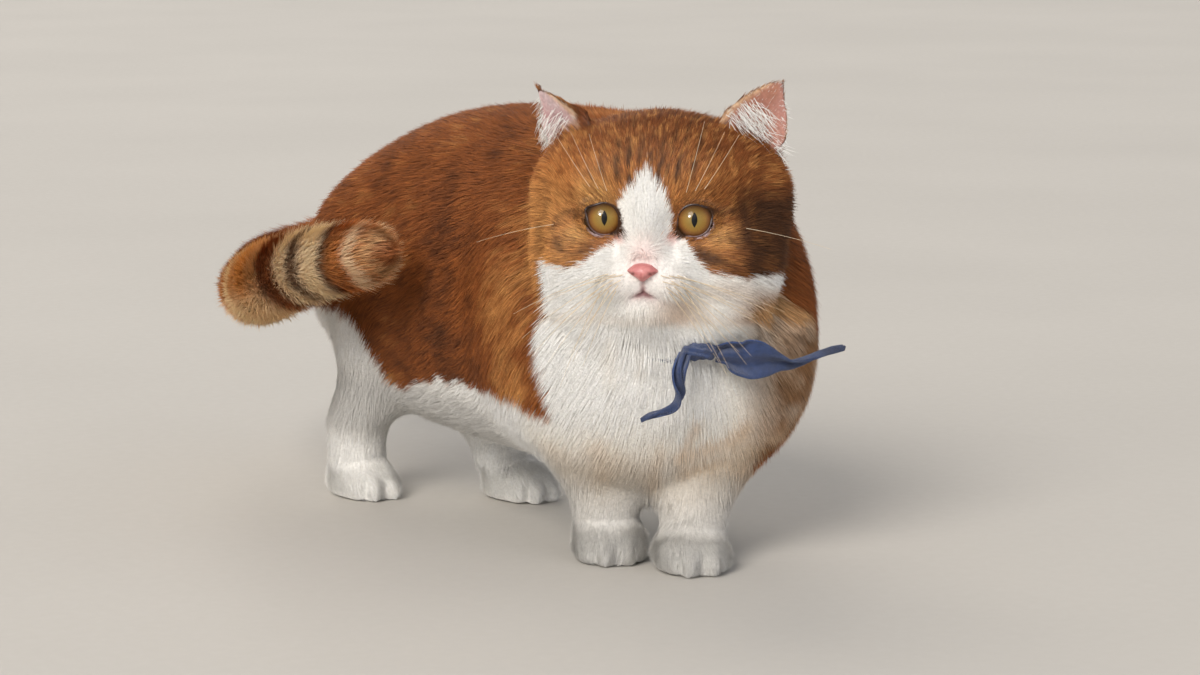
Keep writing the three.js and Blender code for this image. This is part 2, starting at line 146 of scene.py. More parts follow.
def setStage():
    data = bpy.data.cameras.new("camera")
    data.lens = view["lens"]
    data.sensor_width = 36
    data.clip_start = 0.05
    camera = bpy.data.objects.new("camera", data)
    camera.location = view["place"]
    camera.rotation_euler = (math.radians(view["tilt"]), 0, math.radians(view["turn"]))
    bpy.context.scene.collection.objects.link(camera)
    bpy.context.scene.camera = camera
    bpy.context.scene.view_settings.view_transform = "Standard"
    for name, (place, wide, power, colour) in suns.items():
        data = bpy.data.lights.new(name, "SUN")
        data.angle = math.radians(wide)
        data.energy = power
        data.color = colour
        lamp = bpy.data.objects.new(name, data)
        lamp.location = place
        lamp.rotation_euler = (-lamp.location).to_track_quat("-Z", "Y").to_euler()
        bpy.context.scene.collection.objects.link(lamp)
    data = bpy.data.lights.new("window", "AREA")
    data.size = window["size"]
    data.energy = window["power"]
    lamp = bpy.data.objects.new("window", data)
    lamp.location = window["place"]
    lamp.visible_diffuse = False
    lamp.rotation_euler = (Vector((0, -0.15, 0.16)) - lamp.location).to_track_quat("-Z", "Y").to_euler()
    bpy.context.scene.collection.objects.link(lamp)
    world = bpy.data.worlds.new("studio")
    world.use_nodes = True
    back = world.node_tree.nodes["Background"]
    back.inputs["Color"].default_value = (*view["worldTone"], 1)
    back.inputs["Strength"].default_value = view["worldPower"]
    bpy.context.scene.world = world


# Node helpers

class Shader:
    # one material, with short ways to add nodes and join them

    def __init__(self, name):
        self.material = bpy.data.materials.new(name)
        self.material.use_nodes = True
        self.tree = self.material.node_tree
        self.surface = self.tree.nodes["Principled BSDF"]

    def add(self, kind, *inputs, **settings):
        made = self.tree.nodes.new("ShaderNode" + kind)
        for key, value in settings.items():
            setattr(made, key, value)
        for i, value in enumerate(inputs):
            self.put(made.inputs[i], value)
        return made

    def put(self, socket, value):
        if value is None:
            return
        if isinstance(value, bpy.types.NodeSocket):
            self.tree.links.new(value, socket)
        elif isinstance(value, (tuple, list, np.ndarray)) and len(value) == 3 and socket.type == "RGBA":
            socket.default_value = (*value, 1)
        else:
            socket.default_value = value

    def set(self, **values):
        for key, value in values.items():
            self.put(self.surface.inputs[key.replace("_", " ")], value)

    def where(self):
        return self.add("TexCoord").outputs["Object"]

    def noise(self, vector, scale, detail=2.0, rough=0.5):
        made = self.add("TexNoise")
        self.put(made.inputs["Vector"], vector)
        made.inputs["Scale"].default_value = scale
        made.inputs["Detail"].default_value = detail
        made.inputs["Roughness"].default_value = rough
        return made.outputs["Fac"]

    def maths(self, how, first, second=None):
        return self.add("Math", first, second, operation=how).outputs[0]

    def span(self, value, low, high, newLow, newHigh):
        return self.add("MapRange", value, low, high, newLow, newHigh).outputs[0]

    def blend(self, share, first, second, how="MIX"):
        made = self.add("Mix", data_type="RGBA", blend_type=how)
        self.put(made.inputs[0], share)
        self.put(made.inputs[6], first)
        self.put(made.inputs[7], second)
        return made.outputs[2]

    def ramp(self, value, *stops):
        made = self.add("ValToRGB", value)
        points = made.color_ramp.elements
        for i, (place, colour) in enumerate(stops):
            point = points[i] if i < len(points) else points.new(place)
            point.position = place
            point.color = (*colour, 1)
        return made.outputs["Color"]

    def bump(self, height, distance, strength=1.0):
        made = self.add("Bump")
        made.inputs["Strength"].default_value = strength
        made.inputs["Distance"].default_value = distance
        self.put(made.inputs["Height"], height)
        self.put(self.surface.inputs["Normal"], made.outputs["Normal"])


def strandGroup():
    # the fine grain of hair, used by the skin and by every piece of the coat
    group = bpy.data.node_groups.new("hairGrain", "ShaderNodeTree")
    for name, kind in (("Colour", "NodeSocketColor"), ("Scale", "NodeSocketFloat"),
                       ("Depth", "NodeSocketFloat")):
        group.interface.new_socket(name, in_out="INPUT", socket_type=kind)
    for name, kind in (("Colour", "NodeSocketColor"), ("Height", "NodeSocketFloat")):
        group.interface.new_socket(name, in_out="OUTPUT", socket_type=kind)
    add = group.nodes.new
    link = group.links.new
    inside, outside = add("NodeGroupInput"), add("NodeGroupOutput")
    place, grain = add("ShaderNodeTexCoord"), add("ShaderNodeTexNoise")
    span, tint = add("ShaderNodeMapRange"), add("ShaderNodeVectorMath")
    low = add("ShaderNodeMath")
    grain.inputs["Detail"].default_value = 3
    link(place.outputs["Object"], grain.inputs["Vector"])
    link(inside.outputs["Scale"], grain.inputs["Scale"])
    low.operation = "SUBTRACT"
    low.inputs[0].default_value = 1
    link(inside.outputs["Depth"], low.inputs[1])
    span.inputs["From Min"].default_value = 0.3
    span.inputs["From Max"].default_value = 0.7
    link(grain.outputs["Fac"], span.inputs["Value"])
    link(low.outputs[0], span.inputs["To Min"])
    span.inputs["To Max"].default_value = 1.08
    tint.operation = "SCALE"
    link(inside.outputs["Colour"], tint.inputs[0])
    link(span.outputs["Result"], tint.inputs["Scale"])
    link(tint.outputs["Vector"], outside.inputs["Colour"])
    link(grain.outputs["Fac"], outside.inputs["Height"])
    return group


def finishMesh(mesh, name, material, replaces=()):
    made = bpy.data.objects.new(name, mesh)
    bpy.context.scene.collection.objects.link(made)
    mesh.name = name
    mesh.materials.clear()
    mesh.materials.append(material)
    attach(made, "root")
    if replaces:
        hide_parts(*replaces)
    return made


def meshFrom(bm, name):
    mesh = bpy.data.meshes.new(name)
    bm.to_mesh(mesh)
    bm.free()
    return mesh


def storeColours(mesh, name, colours):
    store = mesh.color_attributes.new(name, "FLOAT_COLOR", "POINT")
    store.data.foreach_set("color", np.column_stack([colours, np.ones(len(colours))]).ravel())


def smoothFaces(mesh):
    mesh.polygons.foreach_set("use_smooth", np.ones(len(mesh.polygons), bool))


def pointsOf(mesh):
    flat = np.empty(len(mesh.vertices) * 3)
    mesh.vertices.foreach_get("co", flat)
    return flat.reshape(-1, 3) / mm


def setPoints(mesh, points):
    mesh.vertices.foreach_set("co", (points * mm).ravel())
    mesh.update()


def moved(bm, move):
    # every vertex of a bmesh moved by a function of an array of places, in millimetres
    points = move(np.array([v.co for v in bm.verts]) / mm) * mm
    for v, point in zip(bm.verts, points):
        v.co = point


# The head: its frame, and the masses that its surface runs over

headShape = {
    "centre": np.array([-2.1, -151.2, 157.5]), "turn": -49, "lift": 5,
    "skullBlend": 6, "faceBlend": 3, "muzzleBlend": 13,
    # middle to the left of, ahead of and above the centre, then half sizes; a paired mass is on both sides
    "skull": [
        ((0, -6, 9), (53, 46, 47), False),
        ((32, -8, 17), (27, 30, 27), True),
        ((28, 4, -13), (29, 34, 27), True),
        ((21, 2, -34), (28, 30, 22), True),
        ((0, 8, -39), (32, 26, 20), False),
        ((19, 22, 20), (18, 16, 13), True),
    ],
    "face": [
        ((9, 36, -21), (13, 16, 11), True),
        ((0, 30, -2), (10, 20, 18), False),
        ((0, 42, -13), (7, 9, 7), False),
        ((0, 33, -33), (12, 13, 9), False),
    ],
    "hollow": ((21.4, 55, 5), (14, 15, 10)), "hollowRim": 4,
}
turnAngle, liftAngle = (math.radians(headShape[key]) for key in ("turn", "lift"))
headAxes = np.array([
    [math.cos(turnAngle), math.sin(turnAngle), 0],
    [math.sin(turnAngle) * math.cos(liftAngle), -math.cos(turnAngle) * math.cos(liftAngle),
     math.sin(liftAngle)],
    [-math.sin(turnAngle) * math.sin(liftAngle), math.cos(turnAngle) * math.sin(liftAngle),
     math.cos(liftAngle)],
])


def toHead(points):
    # left, ahead and up in the head's own frame
    return (points - headShape["centre"]) @ headAxes.T


def fromHead(points):
    return np.asarray(points, float) @ headAxes + headShape["centre"]


def massDistance(points, middle, size):
    q = (points - middle) / size
    near = np.linalg.norm(q, axis=-1)
    return near * (near - 1) / np.maximum(np.linalg.norm(q / size, axis=-1), 1e-9)


def headField(points):
    # how far a point in the head's frame is outside the coat of the head
    mirrored = points * [-1, 1, 1]
    groups = []
    for key in ("skull", "face"):
        blend = headShape[key + "Blend"]
        total = 0
        for middle, size, paired in headShape[key]:
            for side in (points, mirrored) if paired else (points,):
                total = total + np.exp(-massDistance(side, np.array(middle), np.array(size)) / blend)
        groups.append(-blend * np.log(total))
    big, small = groups
    blend = headShape["muzzleBlend"]
    meet = np.maximum(blend - np.abs(big - small), 0) / blend
    skin = np.minimum(big, small) - meet * meet * blend / 4
    folded = np.column_stack([np.abs(points[:, 0]), points[:, 1:]])
    hollow = massDistance(folded, *(np.array(v) for v in headShape["hollow"]))
    rim = headShape["hollowRim"]
    soft = np.maximum(rim - np.abs(skin + hollow), 0) / rim
    return np.maximum(skin, -hollow) + soft * soft * rim / 4


def onHead(points, depth):
    # points of the head's frame moved on to the surface that lies depth inside the coat
    for step in range(5):
        value = headField(points) + depth
        slope = np.empty_like(points)
        for axis in range(3):
            nudge = np.zeros(3)
            nudge[axis] = 0.2
            slope[:, axis] = (headField(points + nudge) - headField(points - nudge)) / 0.4
        move = slope * (value / np.maximum(dots(slope, slope), 0.2))[:, None]
        points = points - np.clip(move, -3, 3)
    return points


# The eyes: where they look, and the outline between the lids

eyeShape = {
    "gazeTurn": -41, "gazeLift": 7.4, "cornea": 0.5,
    "reach": 7.45, "topCut": 0.75, "bottomCut": 0.1,
    "innerCorner": 3.3, "innerAngle": -42, "outerCorner": 1.9, "outerAngle": 27, "cornerWidth": 18,
    "irisReach": 8.4, "rimThick": 0.5,
}
gazeFlat, gazeSide = heading(eyeShape["gazeTurn"])
gazeRise = math.radians(eyeShape["gazeLift"])
gaze = gazeFlat * math.cos(gazeRise) + np.array([0, 0, math.sin(gazeRise)])
gazeUp = np.cross(gaze, gazeSide)
gazeUp = gazeUp * np.sign(gazeUp[2])
eyes = {}
for eyeName, eyeSide in (("eye_left", 1), ("eye_right", -1)):
    eyeLow, eyeHigh = boxOf(eyeName)
    eyes[eyeName] = {
        "middle": (eyeLow + eyeHigh) / 2, "radius": (eyeHigh[2] - eyeLow[2]) / 2, "side": eyeSide,
    }


def opening(angle):
    # how far the lids stand open at an angle from the outer corner, in degrees, up being 90
    away = lambda at: (angle - at + 180) % 360 - 180
    reach = eyeShape["reach"] - eyeShape["topCut"] * bell(away(90), 55)
    reach = reach - eyeShape["bottomCut"] * bell(away(-90), 50)
    reach = (reach + eyeShape["innerCorner"]
             * bell(away(180 - eyeShape["innerAngle"]), eyeShape["cornerWidth"]))
    return reach + eyeShape["outerCorner"] * bell(away(eyeShape["outerAngle"]), eyeShape["cornerWidth"])


def eyeCoords(points, eye):
    # across towards the outer corner, up and forward along the gaze, from the eye's middle
    away = points - eye["middle"]
    return dots(away, gazeSide) * eye["side"], dots(away, gazeUp), dots(away, gaze)


def openShare(points, eye):
    # under 1 between the lids, growing outwards, and large behind the eye
    across, up, forward = eyeCoords(points, eye)
    share = np.hypot(across, up) / opening(np.degrees(np.arctan2(up, across)))
    return np.where(forward > 0, share, 9)


def bareLid(points, eye):
    # the bare crescent outside the lower lid, widest under its outer half
    share = openShare(points, eye)
    across, up = eyeCoords(points, eye)[:2]
    return bell(share - 1.17, 0.09) * ease(-4, 2, across) * ease(1.5, -3, up) * (share < 2)


# Ears

earShape = {
    "back": 3, "up": 26, "cup": 7, "setBack": 3, "thick": 1.15,
    # out and width place the foot; reach: how far the tip stands over it
    # border: where the fur of the back starts on the crown's side
    "left": {"side": 1, "out": 31, "width": 18.5, "lean": 29, "open": 14, "taper": 0.1, "reach": 49,
             "border": 0.9, "hollow": "skinOrange"},
    "right": {"side": -1, "out": 28.5, "width": 20, "lean": 39, "open": 34, "taper": 0.25, "reach": 49.5,
              "border": 0.55, "hollow": "skinPale"},
}
earPair = (earShape["left"], earShape["right"])


def earFoot(ear):
    return np.array([ear["out"] * ear["side"], earShape["back"], earShape["up"]])


def earCoords(points, ear):
    # across towards the outer edge, back from the hollow, and up from the ear's foot
    side = ear["side"]
    local = toHead(points) * [1, -1, 1]
    spin = Matrix.Rotation(math.radians(side * ear["lean"]), 3, "Y")
    spin = np.array(spin @ Matrix.Rotation(math.radians(side * ear["open"]), 3, "Z"))
    return (local - earFoot(ear)) @ spin * [side, 1, 1], spin


def earLeaf(local, ear):
    # half the ear's width at a height, how far back its middle layer lies, and the share of the width
    height = np.clip(local[:, 2] / ear["reach"], 0.02, 0.995)
    arch = np.sqrt(1 - (2 * np.maximum(height, 0.5) - 1) ** 2)
    wide = ear["width"] * (1.18 - 0.76 * height ** 1.5) * (1 - ear["taper"] * height ** 4) * arch
    middle = earShape["setBack"] - (local[:, 0] / ear["width"]) ** 2 * earShape["cup"] * (1 - 0.45 * height)
    return wide, middle, np.abs(local[:, 0]) / wide


def shapeEars(skin, weights):
    # the remeshed ears become thin cupped leaves with their true outline and height
    own = shareOf(weights, "ear")
    q = toHead(skin.points)
    clear = ease(0.3, 3.2, headField(q))
    for ear in earPair:
        local, spin = earCoords(skin.points, ear)
        chosen = (own > 0.05) & (q[:, 0] * ear["side"] > 0)
        top = local[chosen, 2].max()
        rise = local[:, 2] * mix(1, ear["reach"] / top, ease(0.3, 1, local[:, 2] / top))
        raised = np.column_stack([local[:, :2], rise])
        share = earLeaf(raised, ear)[2]
        # the rim is drawn out to the outline first, then both faces go to their places
        grow = mix(1, 1 / np.maximum(share, 0.5), ease(0.6, 0.92, share) * ease(0.1, 0.5, own))
        across = local[:, 0] * np.clip(grow, 0.8, 1.35)
        wide, middle, share = earLeaf(np.column_stack([across, raised[:, 1:]]), ear)
        half = (earShape["thick"] * np.sqrt(np.clip(1 - share ** 2, 0.04, 1))
                * mix(1.8, 1, ease(0.2, 0.6, rise / ear["reach"])))
        front = ease(-0.6, 0.6, local[:, 1] - middle)
        back = middle + mix(-half, half, front)
        amount = ease(0.35, 0.75, own) * clear
        target = np.column_stack([mix(local[:, 0], across, amount), mix(local[:, 1], back, amount), rise])
        side = ear["side"]
        placed = ((target * [side, 1, 1]) @ spin.T + earFoot(ear)) * [1, -1, 1]
        skin.points = np.where(chosen[:, None], fromHead(placed), skin.points)


# Regions of the coat. depth: skin to tips; long and wide: one tuft; lift: degrees off the skin;
# thick: tufts on a square millimetre; loose: how far the tufts stray from the lie.

coats = {
    "face": {"depth": 1.3, "long": 5.2, "wide": 0.42, "lift": 15, "thick": 3.7, "loose": 0.6},
    "head": {"depth": 2.3, "long": 9.2, "wide": 0.46, "lift": 13, "thick": 2.5, "loose": 0.85},
    "ear": {"depth": 0.5, "long": 3.4, "wide": 0.42, "lift": 9, "thick": 2.6, "loose": 0.6},
    "neck": {"depth": 3.2, "long": 11, "wide": 0.6, "lift": 16, "thick": 1.7, "loose": 0.7},
    "chest": {"depth": 2.8, "long": 11.5, "wide": 0.46, "lift": 7, "thick": 2.2, "loose": 0.36},
    "trunk": {"depth": 3.0, "long": 9.5, "wide": 0.6, "lift": 15, "thick": 1.55, "loose": 1.0},
    "tail": {"depth": 4.6, "long": 10.5, "wide": 0.62, "lift": 24, "thick": 1.7, "loose": 1.1},
    "leg": {"depth": 1.6, "long": 8.5, "wide": 0.42, "lift": 12, "thick": 2.0, "loose": 0.5},
    "paw": {"depth": 0.9, "long": 5.6, "wide": 0.36, "lift": 19, "thick": 3.3, "loose": 0.5},
}
regionNames = list(coats)
nodeRegions = {
    "head": "head", "ear_left": "ear", "ear_right": "ear", "neck": "neck", "chest": "chest",
    "belly": "trunk", "rump": "trunk", "tail_1": "tail", "tail_2": "tail", "tail_3": "tail", "tail_4": "tail",
}
limbNames = ("front_right", "front_left", "hind_right", "hind_left")
for limbName in limbNames:
    nodeRegions["leg_" + limbName] = "leg"
    nodeRegions["paw_" + limbName] = "paw"

# The middle line of the tail from the rump to the tip, and the trunk's line from rump to breast with its turn
tailRoute = np.array([
    (21, 106, 130), (32, 130, 126), (45, 152, 120), (49, 174, 113), (36, 190, 107), (14, 186, 103),
    (-8, 162, 102), (-31, 135, 101.5), (-55, 96, 108), (-72, 52, 120.5), (-77, 8, 132), (-68, -36, 142),
], float)
trunkLine = np.array([
    (17, 105, 8), (20, 74, 8), (24, 30, 5), (26, -20, -1), (25, -72, -12), (18, -122, -25), (6, -151, -30),
    (-2, -168, -30),
], float)
paws = {
    "front_right": {"middle": (-11, -127, 0), "turn": -30, "long": 23, "wide": 18.5},
    "front_left": {"middle": (4, -168, 0), "turn": -26, "long": 23, "wide": 18.5},
    "hind_right": {"middle": (-13, 66, 0), "turn": -4, "long": 23.5, "wide": 16.5},
    "hind_left": {"middle": (44, 9, 0), "turn": 2, "long": 23.5, "wide": 16.5},
}


def tailPlace(points):
    # the distance from the tip along the tail, the way towards the tip, and the height over its middle line
    fine = []
    for a, b, c, d in zip(tailRoute[:-3], tailRoute[1:-2], tailRoute[2:-1], tailRoute[3:]):
        for t in np.arange(0, 1, 0.1):
            fine.append(curved(a, b, c, d, t))
    fine = np.array([*fine, *[mix(tailRoute[-2], tailRoute[-1], t) for t in np.arange(0, 1.01, 0.1)]])
    steps = np.linalg.norm(np.diff(fine, axis=0), axis=1)
    left = np.concatenate([np.cumsum(steps[::-1])[::-1], [0]])
    ways = unit(np.gradient(fine, axis=0))
    nearest = np.concatenate([
        np.argmin(((part[:, None] - fine[None]) ** 2).sum(-1), axis=1) for part in np.array_split(points, 16)
    ])
    way = ways[nearest]
    away = points - fine[nearest]
    return left[nearest] - dots(away, way), way, away[:, 2]


# The skin: one closed surface inside all the solids of flesh

skinShape = {
    "voxel": 2.4, "swell": 0.8, "evenRounds": 34, "headRounds": 5, "pawRounds": 16, "sinkSteps": 6,
    "pinch": 1.6, "wristRounds": 60, "toeAngles": (-32, 0, 32), "toeDepth": 1.6, "toeWide": 1.8,
    "toeRise": 0.9, "wristHeight": 24,
}


class Surface:
    # a mesh as arrays, with values that can be spread over its vertices

    def __init__(self, mesh):
        self.mesh = mesh
        self.read()

    def read(self):
        count = len(self.mesh.edges)
        pairs = np.empty(count * 2, np.int64)
        self.mesh.edges.foreach_get("vertices", pairs)
        self.pairs = pairs.reshape(-1, 2)
        self.points = pointsOf(self.mesh)
        self.count = len(self.points)
        self.links = np.bincount(self.pairs.ravel(), minlength=self.count)

    def around(self, values):
        # the mean of each vertex's neighbours
        a, b = self.pairs.T
        columns = values.reshape(self.count, -1)
        total = np.empty_like(columns, dtype=float)
        for k in range(columns.shape[1]):
            total[:, k] = (np.bincount(a, columns[b, k], self.count)
                           + np.bincount(b, columns[a, k], self.count))
        return (total / np.maximum(self.links, 1)[:, None]).reshape(values.shape)

    def spread(self, values, rounds, share=0.5):
        values = values.astype(float)
        for step in range(rounds):
            values = mix(values, self.around(values), share)
        return values

    def normals(self):
        setPoints(self.mesh, self.points)
        flat = np.empty(self.count * 3)
        self.mesh.vertices.foreach_get("normal", flat)
        return flat.reshape(-1, 3)


def pinchAt(height):
    # how far the sides of a paw are drawn in, nothing from the wrist up
    return skinShape["pinch"] * (1 - ease(11, 20, height))


def joinFlesh():
    joined = bmesh.new()
    for name in (*nodeRegions, "scarf_band"):
        part = bmesh.new()
        part.from_mesh(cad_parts[name].data)
        bmesh.ops.remove_doubles(part, verts=part.verts, dist=1e-6)
        part.normal_update()
        for v in part.verts:
            v.co += v.normal * skinShape["swell"] * mm
        if name.startswith("paw_"):
            # neighbouring paws stay apart
            middle = Vector(paws[name[4:]]["middle"]) * mm
            for v in part.verts:
                away = Vector((v.co.x - middle.x, v.co.y - middle.y, 0))
                v.co -= away.normalized() * float(pinchAt(v.co.z / mm)) * mm
        step = meshFrom(part, "step")
        joined.from_mesh(step)
        bpy.data.meshes.remove(step)
    flesh = bpy.data.objects.new("flesh", meshFrom(joined, "flesh"))
    bpy.context.scene.collection.objects.link(flesh)
    remesh = flesh.modifiers.new("remesh", "REMESH")
    remesh.mode = "VOXEL"
    remesh.voxel_size = skinShape["voxel"] * mm
    bpy.context.view_layer.update()
    whole = bpy.data.meshes.new_from_object(flesh.evaluated_get(bpy.context.evaluated_depsgraph_get()))
    bpy.data.objects.remove(flesh)
    return whole


def keepLargest(bm):
    # sealed hollows inside the flesh leave shells of their own
    bm.verts.ensure_lookup_table()
    seen = np.zeros(len(bm.verts), bool)
    islands = []
    for start in bm.verts:
        if seen[start.index]:
            continue
        seen[start.index] = True
        island, waiting = [start], [start]
        while waiting:
            for edge in waiting.pop().link_edges:
                for other in edge.verts:
                    if not seen[other.index]:
                        seen[other.index] = True
                        island.append(other)
                        waiting.append(other)
        islands.append(island)
    islands.sort(key=len)
    for island in islands[:-1]:
        bmesh.ops.delete(bm, geom=island, context="VERTS")


def refine(bm, wanted):
    # halves the edges whose two ends are wanted
    flags = wanted(np.array([v.co for v in bm.verts]) / mm)
    bm.verts.index_update()
    edges = [e for e in bm.edges if flags[e.verts[0].index] and flags[e.verts[1].index]]
    bmesh.ops.subdivide_edges(bm, edges=edges, cuts=1, use_grid_fill=True)


def nearFace(points):
    left, ahead, up = toHead(points).T
    return (ahead > 12) & (np.abs(left) < 47) & (up > -47) & (up < 34)


def nearFeatures(points):
    left, ahead, up = toHead(points).T
    found = (np.abs(left) < 19) & (up < -6) & (up > -38) & (ahead > 30)
    for eye in eyes.values():
        found |= np.linalg.norm(points - eye["middle"] - gaze * 8, axis=1) < 12
    return found


def nearPaws(points):
    return points[:, 2] < skinShape["wristHeight"]


def regionWeights(skin):
    # how far each vertex belongs to each region, running into each other over a few millimetres
    corners, triangles, owners = [], [], []
    for name, region in nodeRegions.items():
        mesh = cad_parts[name].data
        mesh.calc_loop_triangles()
        base = len(corners)
        corners += [v.co / mm for v in mesh.vertices]
        triangles += [[base + i for i in t.vertices] for t in mesh.loop_triangles]
        owners += [regionNames.index(region)] * len(mesh.loop_triangles)
    tree = BVHTree.FromPolygons(corners, triangles)
    nearest = np.array([owners[tree.find_nearest(p)[2]] for p in skin.points])
    left, ahead, up = toHead(skin.points).T
    front = (nearest == regionNames.index("head")) & (ahead > 20 - 0.2 * np.abs(up)) & (np.abs(left) < 47)
    nearest[front] = regionNames.index("face")
    weights = np.eye(len(regionNames))[nearest]
    return skin.spread(weights, 10)


def blended(weights, key):
    return weights @ np.array([coats[name][key] for name in regionNames], float)


def shareOf(weights, *names):
    # how far each place belongs to these regions together
    return weights[:, [regionNames.index(name) for name in names]].sum(1)


def sculptEyes(skin):
    for eye in eyes.values():
        away = skin.points - eye["middle"]
        far = np.linalg.norm(away, axis=1)
        share = openShare(skin.points, eye)
        target = np.where(share < 1, eye["radius"] - 1.6, eye["radius"] + 0.75)
        amount = np.where(share < 1.14, 1, 1 - ease(1.14, 1.75, share)) * (far < eye["radius"] * 2.1)
        skin.points = skin.points + unit(away) * ((target - far) * amount)[:, None]


mouthShape = {
    "centre": -26.4, "fall": 0.46, "reach": 5.5, "depth": 1.0, "wide": 0.8,
    "philtrumTop": -20, "philtrumDepth": 0.6, "philtrumWide": 0.8,
}


def mouthDistance(q):
    # the distance in the face's plane from the line of the mouth, and from the groove under the nose
    left, ahead, up = q.T
    side = np.abs(left)
    beyond = np.maximum(side - mouthShape["reach"], 0)
    line = mouthShape["centre"] - mouthShape["fall"] * np.minimum(side, 9) + 0.16 * np.maximum(side - 9, 0)
    mouth = np.hypot(up - line, beyond) + 50 * (ahead < 25)
    top, low = mouthShape["philtrumTop"], mouthShape["centre"]
    groove = np.hypot(left, np.maximum(up - top, 0) + np.maximum(low - up, 0)) + 50 * (ahead < 25)
    return mouth, groove


def sculptFace(skin):
    normals = skin.normals()
    q = toHead(skin.points)
    mouth, groove = mouthDistance(q)
    left, ahead, up = q.T
    sink = mouthShape["depth"] * bell(mouth, mouthShape["wide"]) * (1 - 0.5 * ease(6, 14, np.abs(left)))
    sink += mouthShape["philtrumDepth"] * bell(groove, mouthShape["philtrumWide"])
    # a crease runs down from each inner eye corner beside the nose
    crease = np.hypot(np.abs(left) - 11 + 0.25 * (up + 4), np.maximum(np.abs(up + 4) - 6, 0))
    sink += 0.7 * bell(crease, 2.2) * (ahead > 25)
    skin.points = skin.points - normals * sink[:, None]


def sculptPaws(skin):
    normals = skin.normals()
    sink = np.zeros(skin.count)
    height = skin.points[:, 2]
    for paw in paws.values():
        ahead, left = heading(paw["turn"])
        away = skin.points - np.array(paw["middle"])
        forward, side = dots(away, ahead), dots(away, left)
        angle = np.degrees(np.arctan2(side, np.maximum(forward, 0.1)))
        far = np.hypot(forward, side)
        own = (far < 30) * (forward > 0) * ease(7, 15, far)
        for at in skinShape["toeAngles"]:
            apart = np.radians(angle - at) * np.maximum(far, 8)
            low = ease(-1, 3, height) * (1 - ease(6, 13, height))
            sink += skinShape["toeDepth"] * bell(apart, skinShape["toeWide"]) * low * own
            # each toe is rounded up between the gaps
            toe = np.radians(np.abs(angle - at) - 16) * np.maximum(far, 8)
            near = own * (np.abs(angle - at) < 30)
            sink -= skinShape["toeRise"] * bell(toe, 3.2) * bell(height - 6, 5) * near
        # the wrist's crease
        sink += 0.3 * bell(height - 21.5, 2.4) * (far < 24) * (forward > 0)
    skin.points = skin.points - normals * sink[:, None]


def buildSkin():
    bm = bmesh.new()
    whole = joinFlesh()
    bm.from_mesh(whole)
    keepLargest(bm)
    say(f"flesh joined: {len(bm.verts)} vertices")
    for wanted in (nearFace, nearPaws, nearFeatures):
        refine(bm, wanted)
    bm.to_mesh(whole)
    bm.free()
    skin = Surface(whole)
    weights = regionWeights(skin)
    fine = ease(0.1, 0.6, shareOf(weights, "ear", "face", "head"))
    pawShare = ease(0.2, 0.8, shareOf(weights, "paw"))
    headShare = shareOf(weights, "head", "face")
    # facets are evened out, less where the shape is small
    for step in range(skinShape["evenRounds"]):
        amount = np.full(skin.count, 0.5)
        if step >= skinShape["headRounds"]:
            amount *= 1 - fine
        if step >= skinShape["pawRounds"]:
            amount *= 1 - pawShare
        skin.points = mix(skin.points, skin.around(skin.points), amount[:, None])
    depth = (blended(weights, "depth") + skinShape["swell"]
             - pinchAt(skin.points[:, 2]) * shareOf(weights, "paw"))
    for step in range(skinShape["sinkSteps"]):
        skin.points = skin.points - skin.normals() * (depth / skinShape["sinkSteps"])[:, None]
        skin.points = mix(skin.points, skin.around(skin.points), (0.25 * (1 - fine))[:, None])
    snap = ease(0.55, 0.95, skin.spread(headShare, 6))
    chosen = snap > 0.01
    target = fromHead(onHead(toHead(skin.points[chosen]), blended(weights, "depth")[chosen]))
    skin.points[chosen] = mix(skin.points[chosen], target, snap[chosen, None])
    # the step from leg to paw is eased away
    wrist = bell(skin.points[:, 2] - 24, 9) * shareOf(weights, "paw", "leg")
    for step in range(skinShape["wristRounds"]):
        skin.points = mix(skin.points, skin.around(skin.points), (0.6 * wrist)[:, None])
    shapeEars(skin, weights)
    skin.points = mix(skin.points, skin.around(skin.points), 0.3)
    skin.points[:, 2] = np.maximum(skin.points[:, 2], 0.9)
    sculptFace(skin)
    sculptPaws(skin)
    sculptEyes(skin)
    setPoints(skin.mesh, skin.points)
    say(f"skin shaped: {skin.count} vertices, {len(skin.mesh.polygons)} faces")
    return skin, weights


# The markings. Each function takes places on the skin, in millimetres.

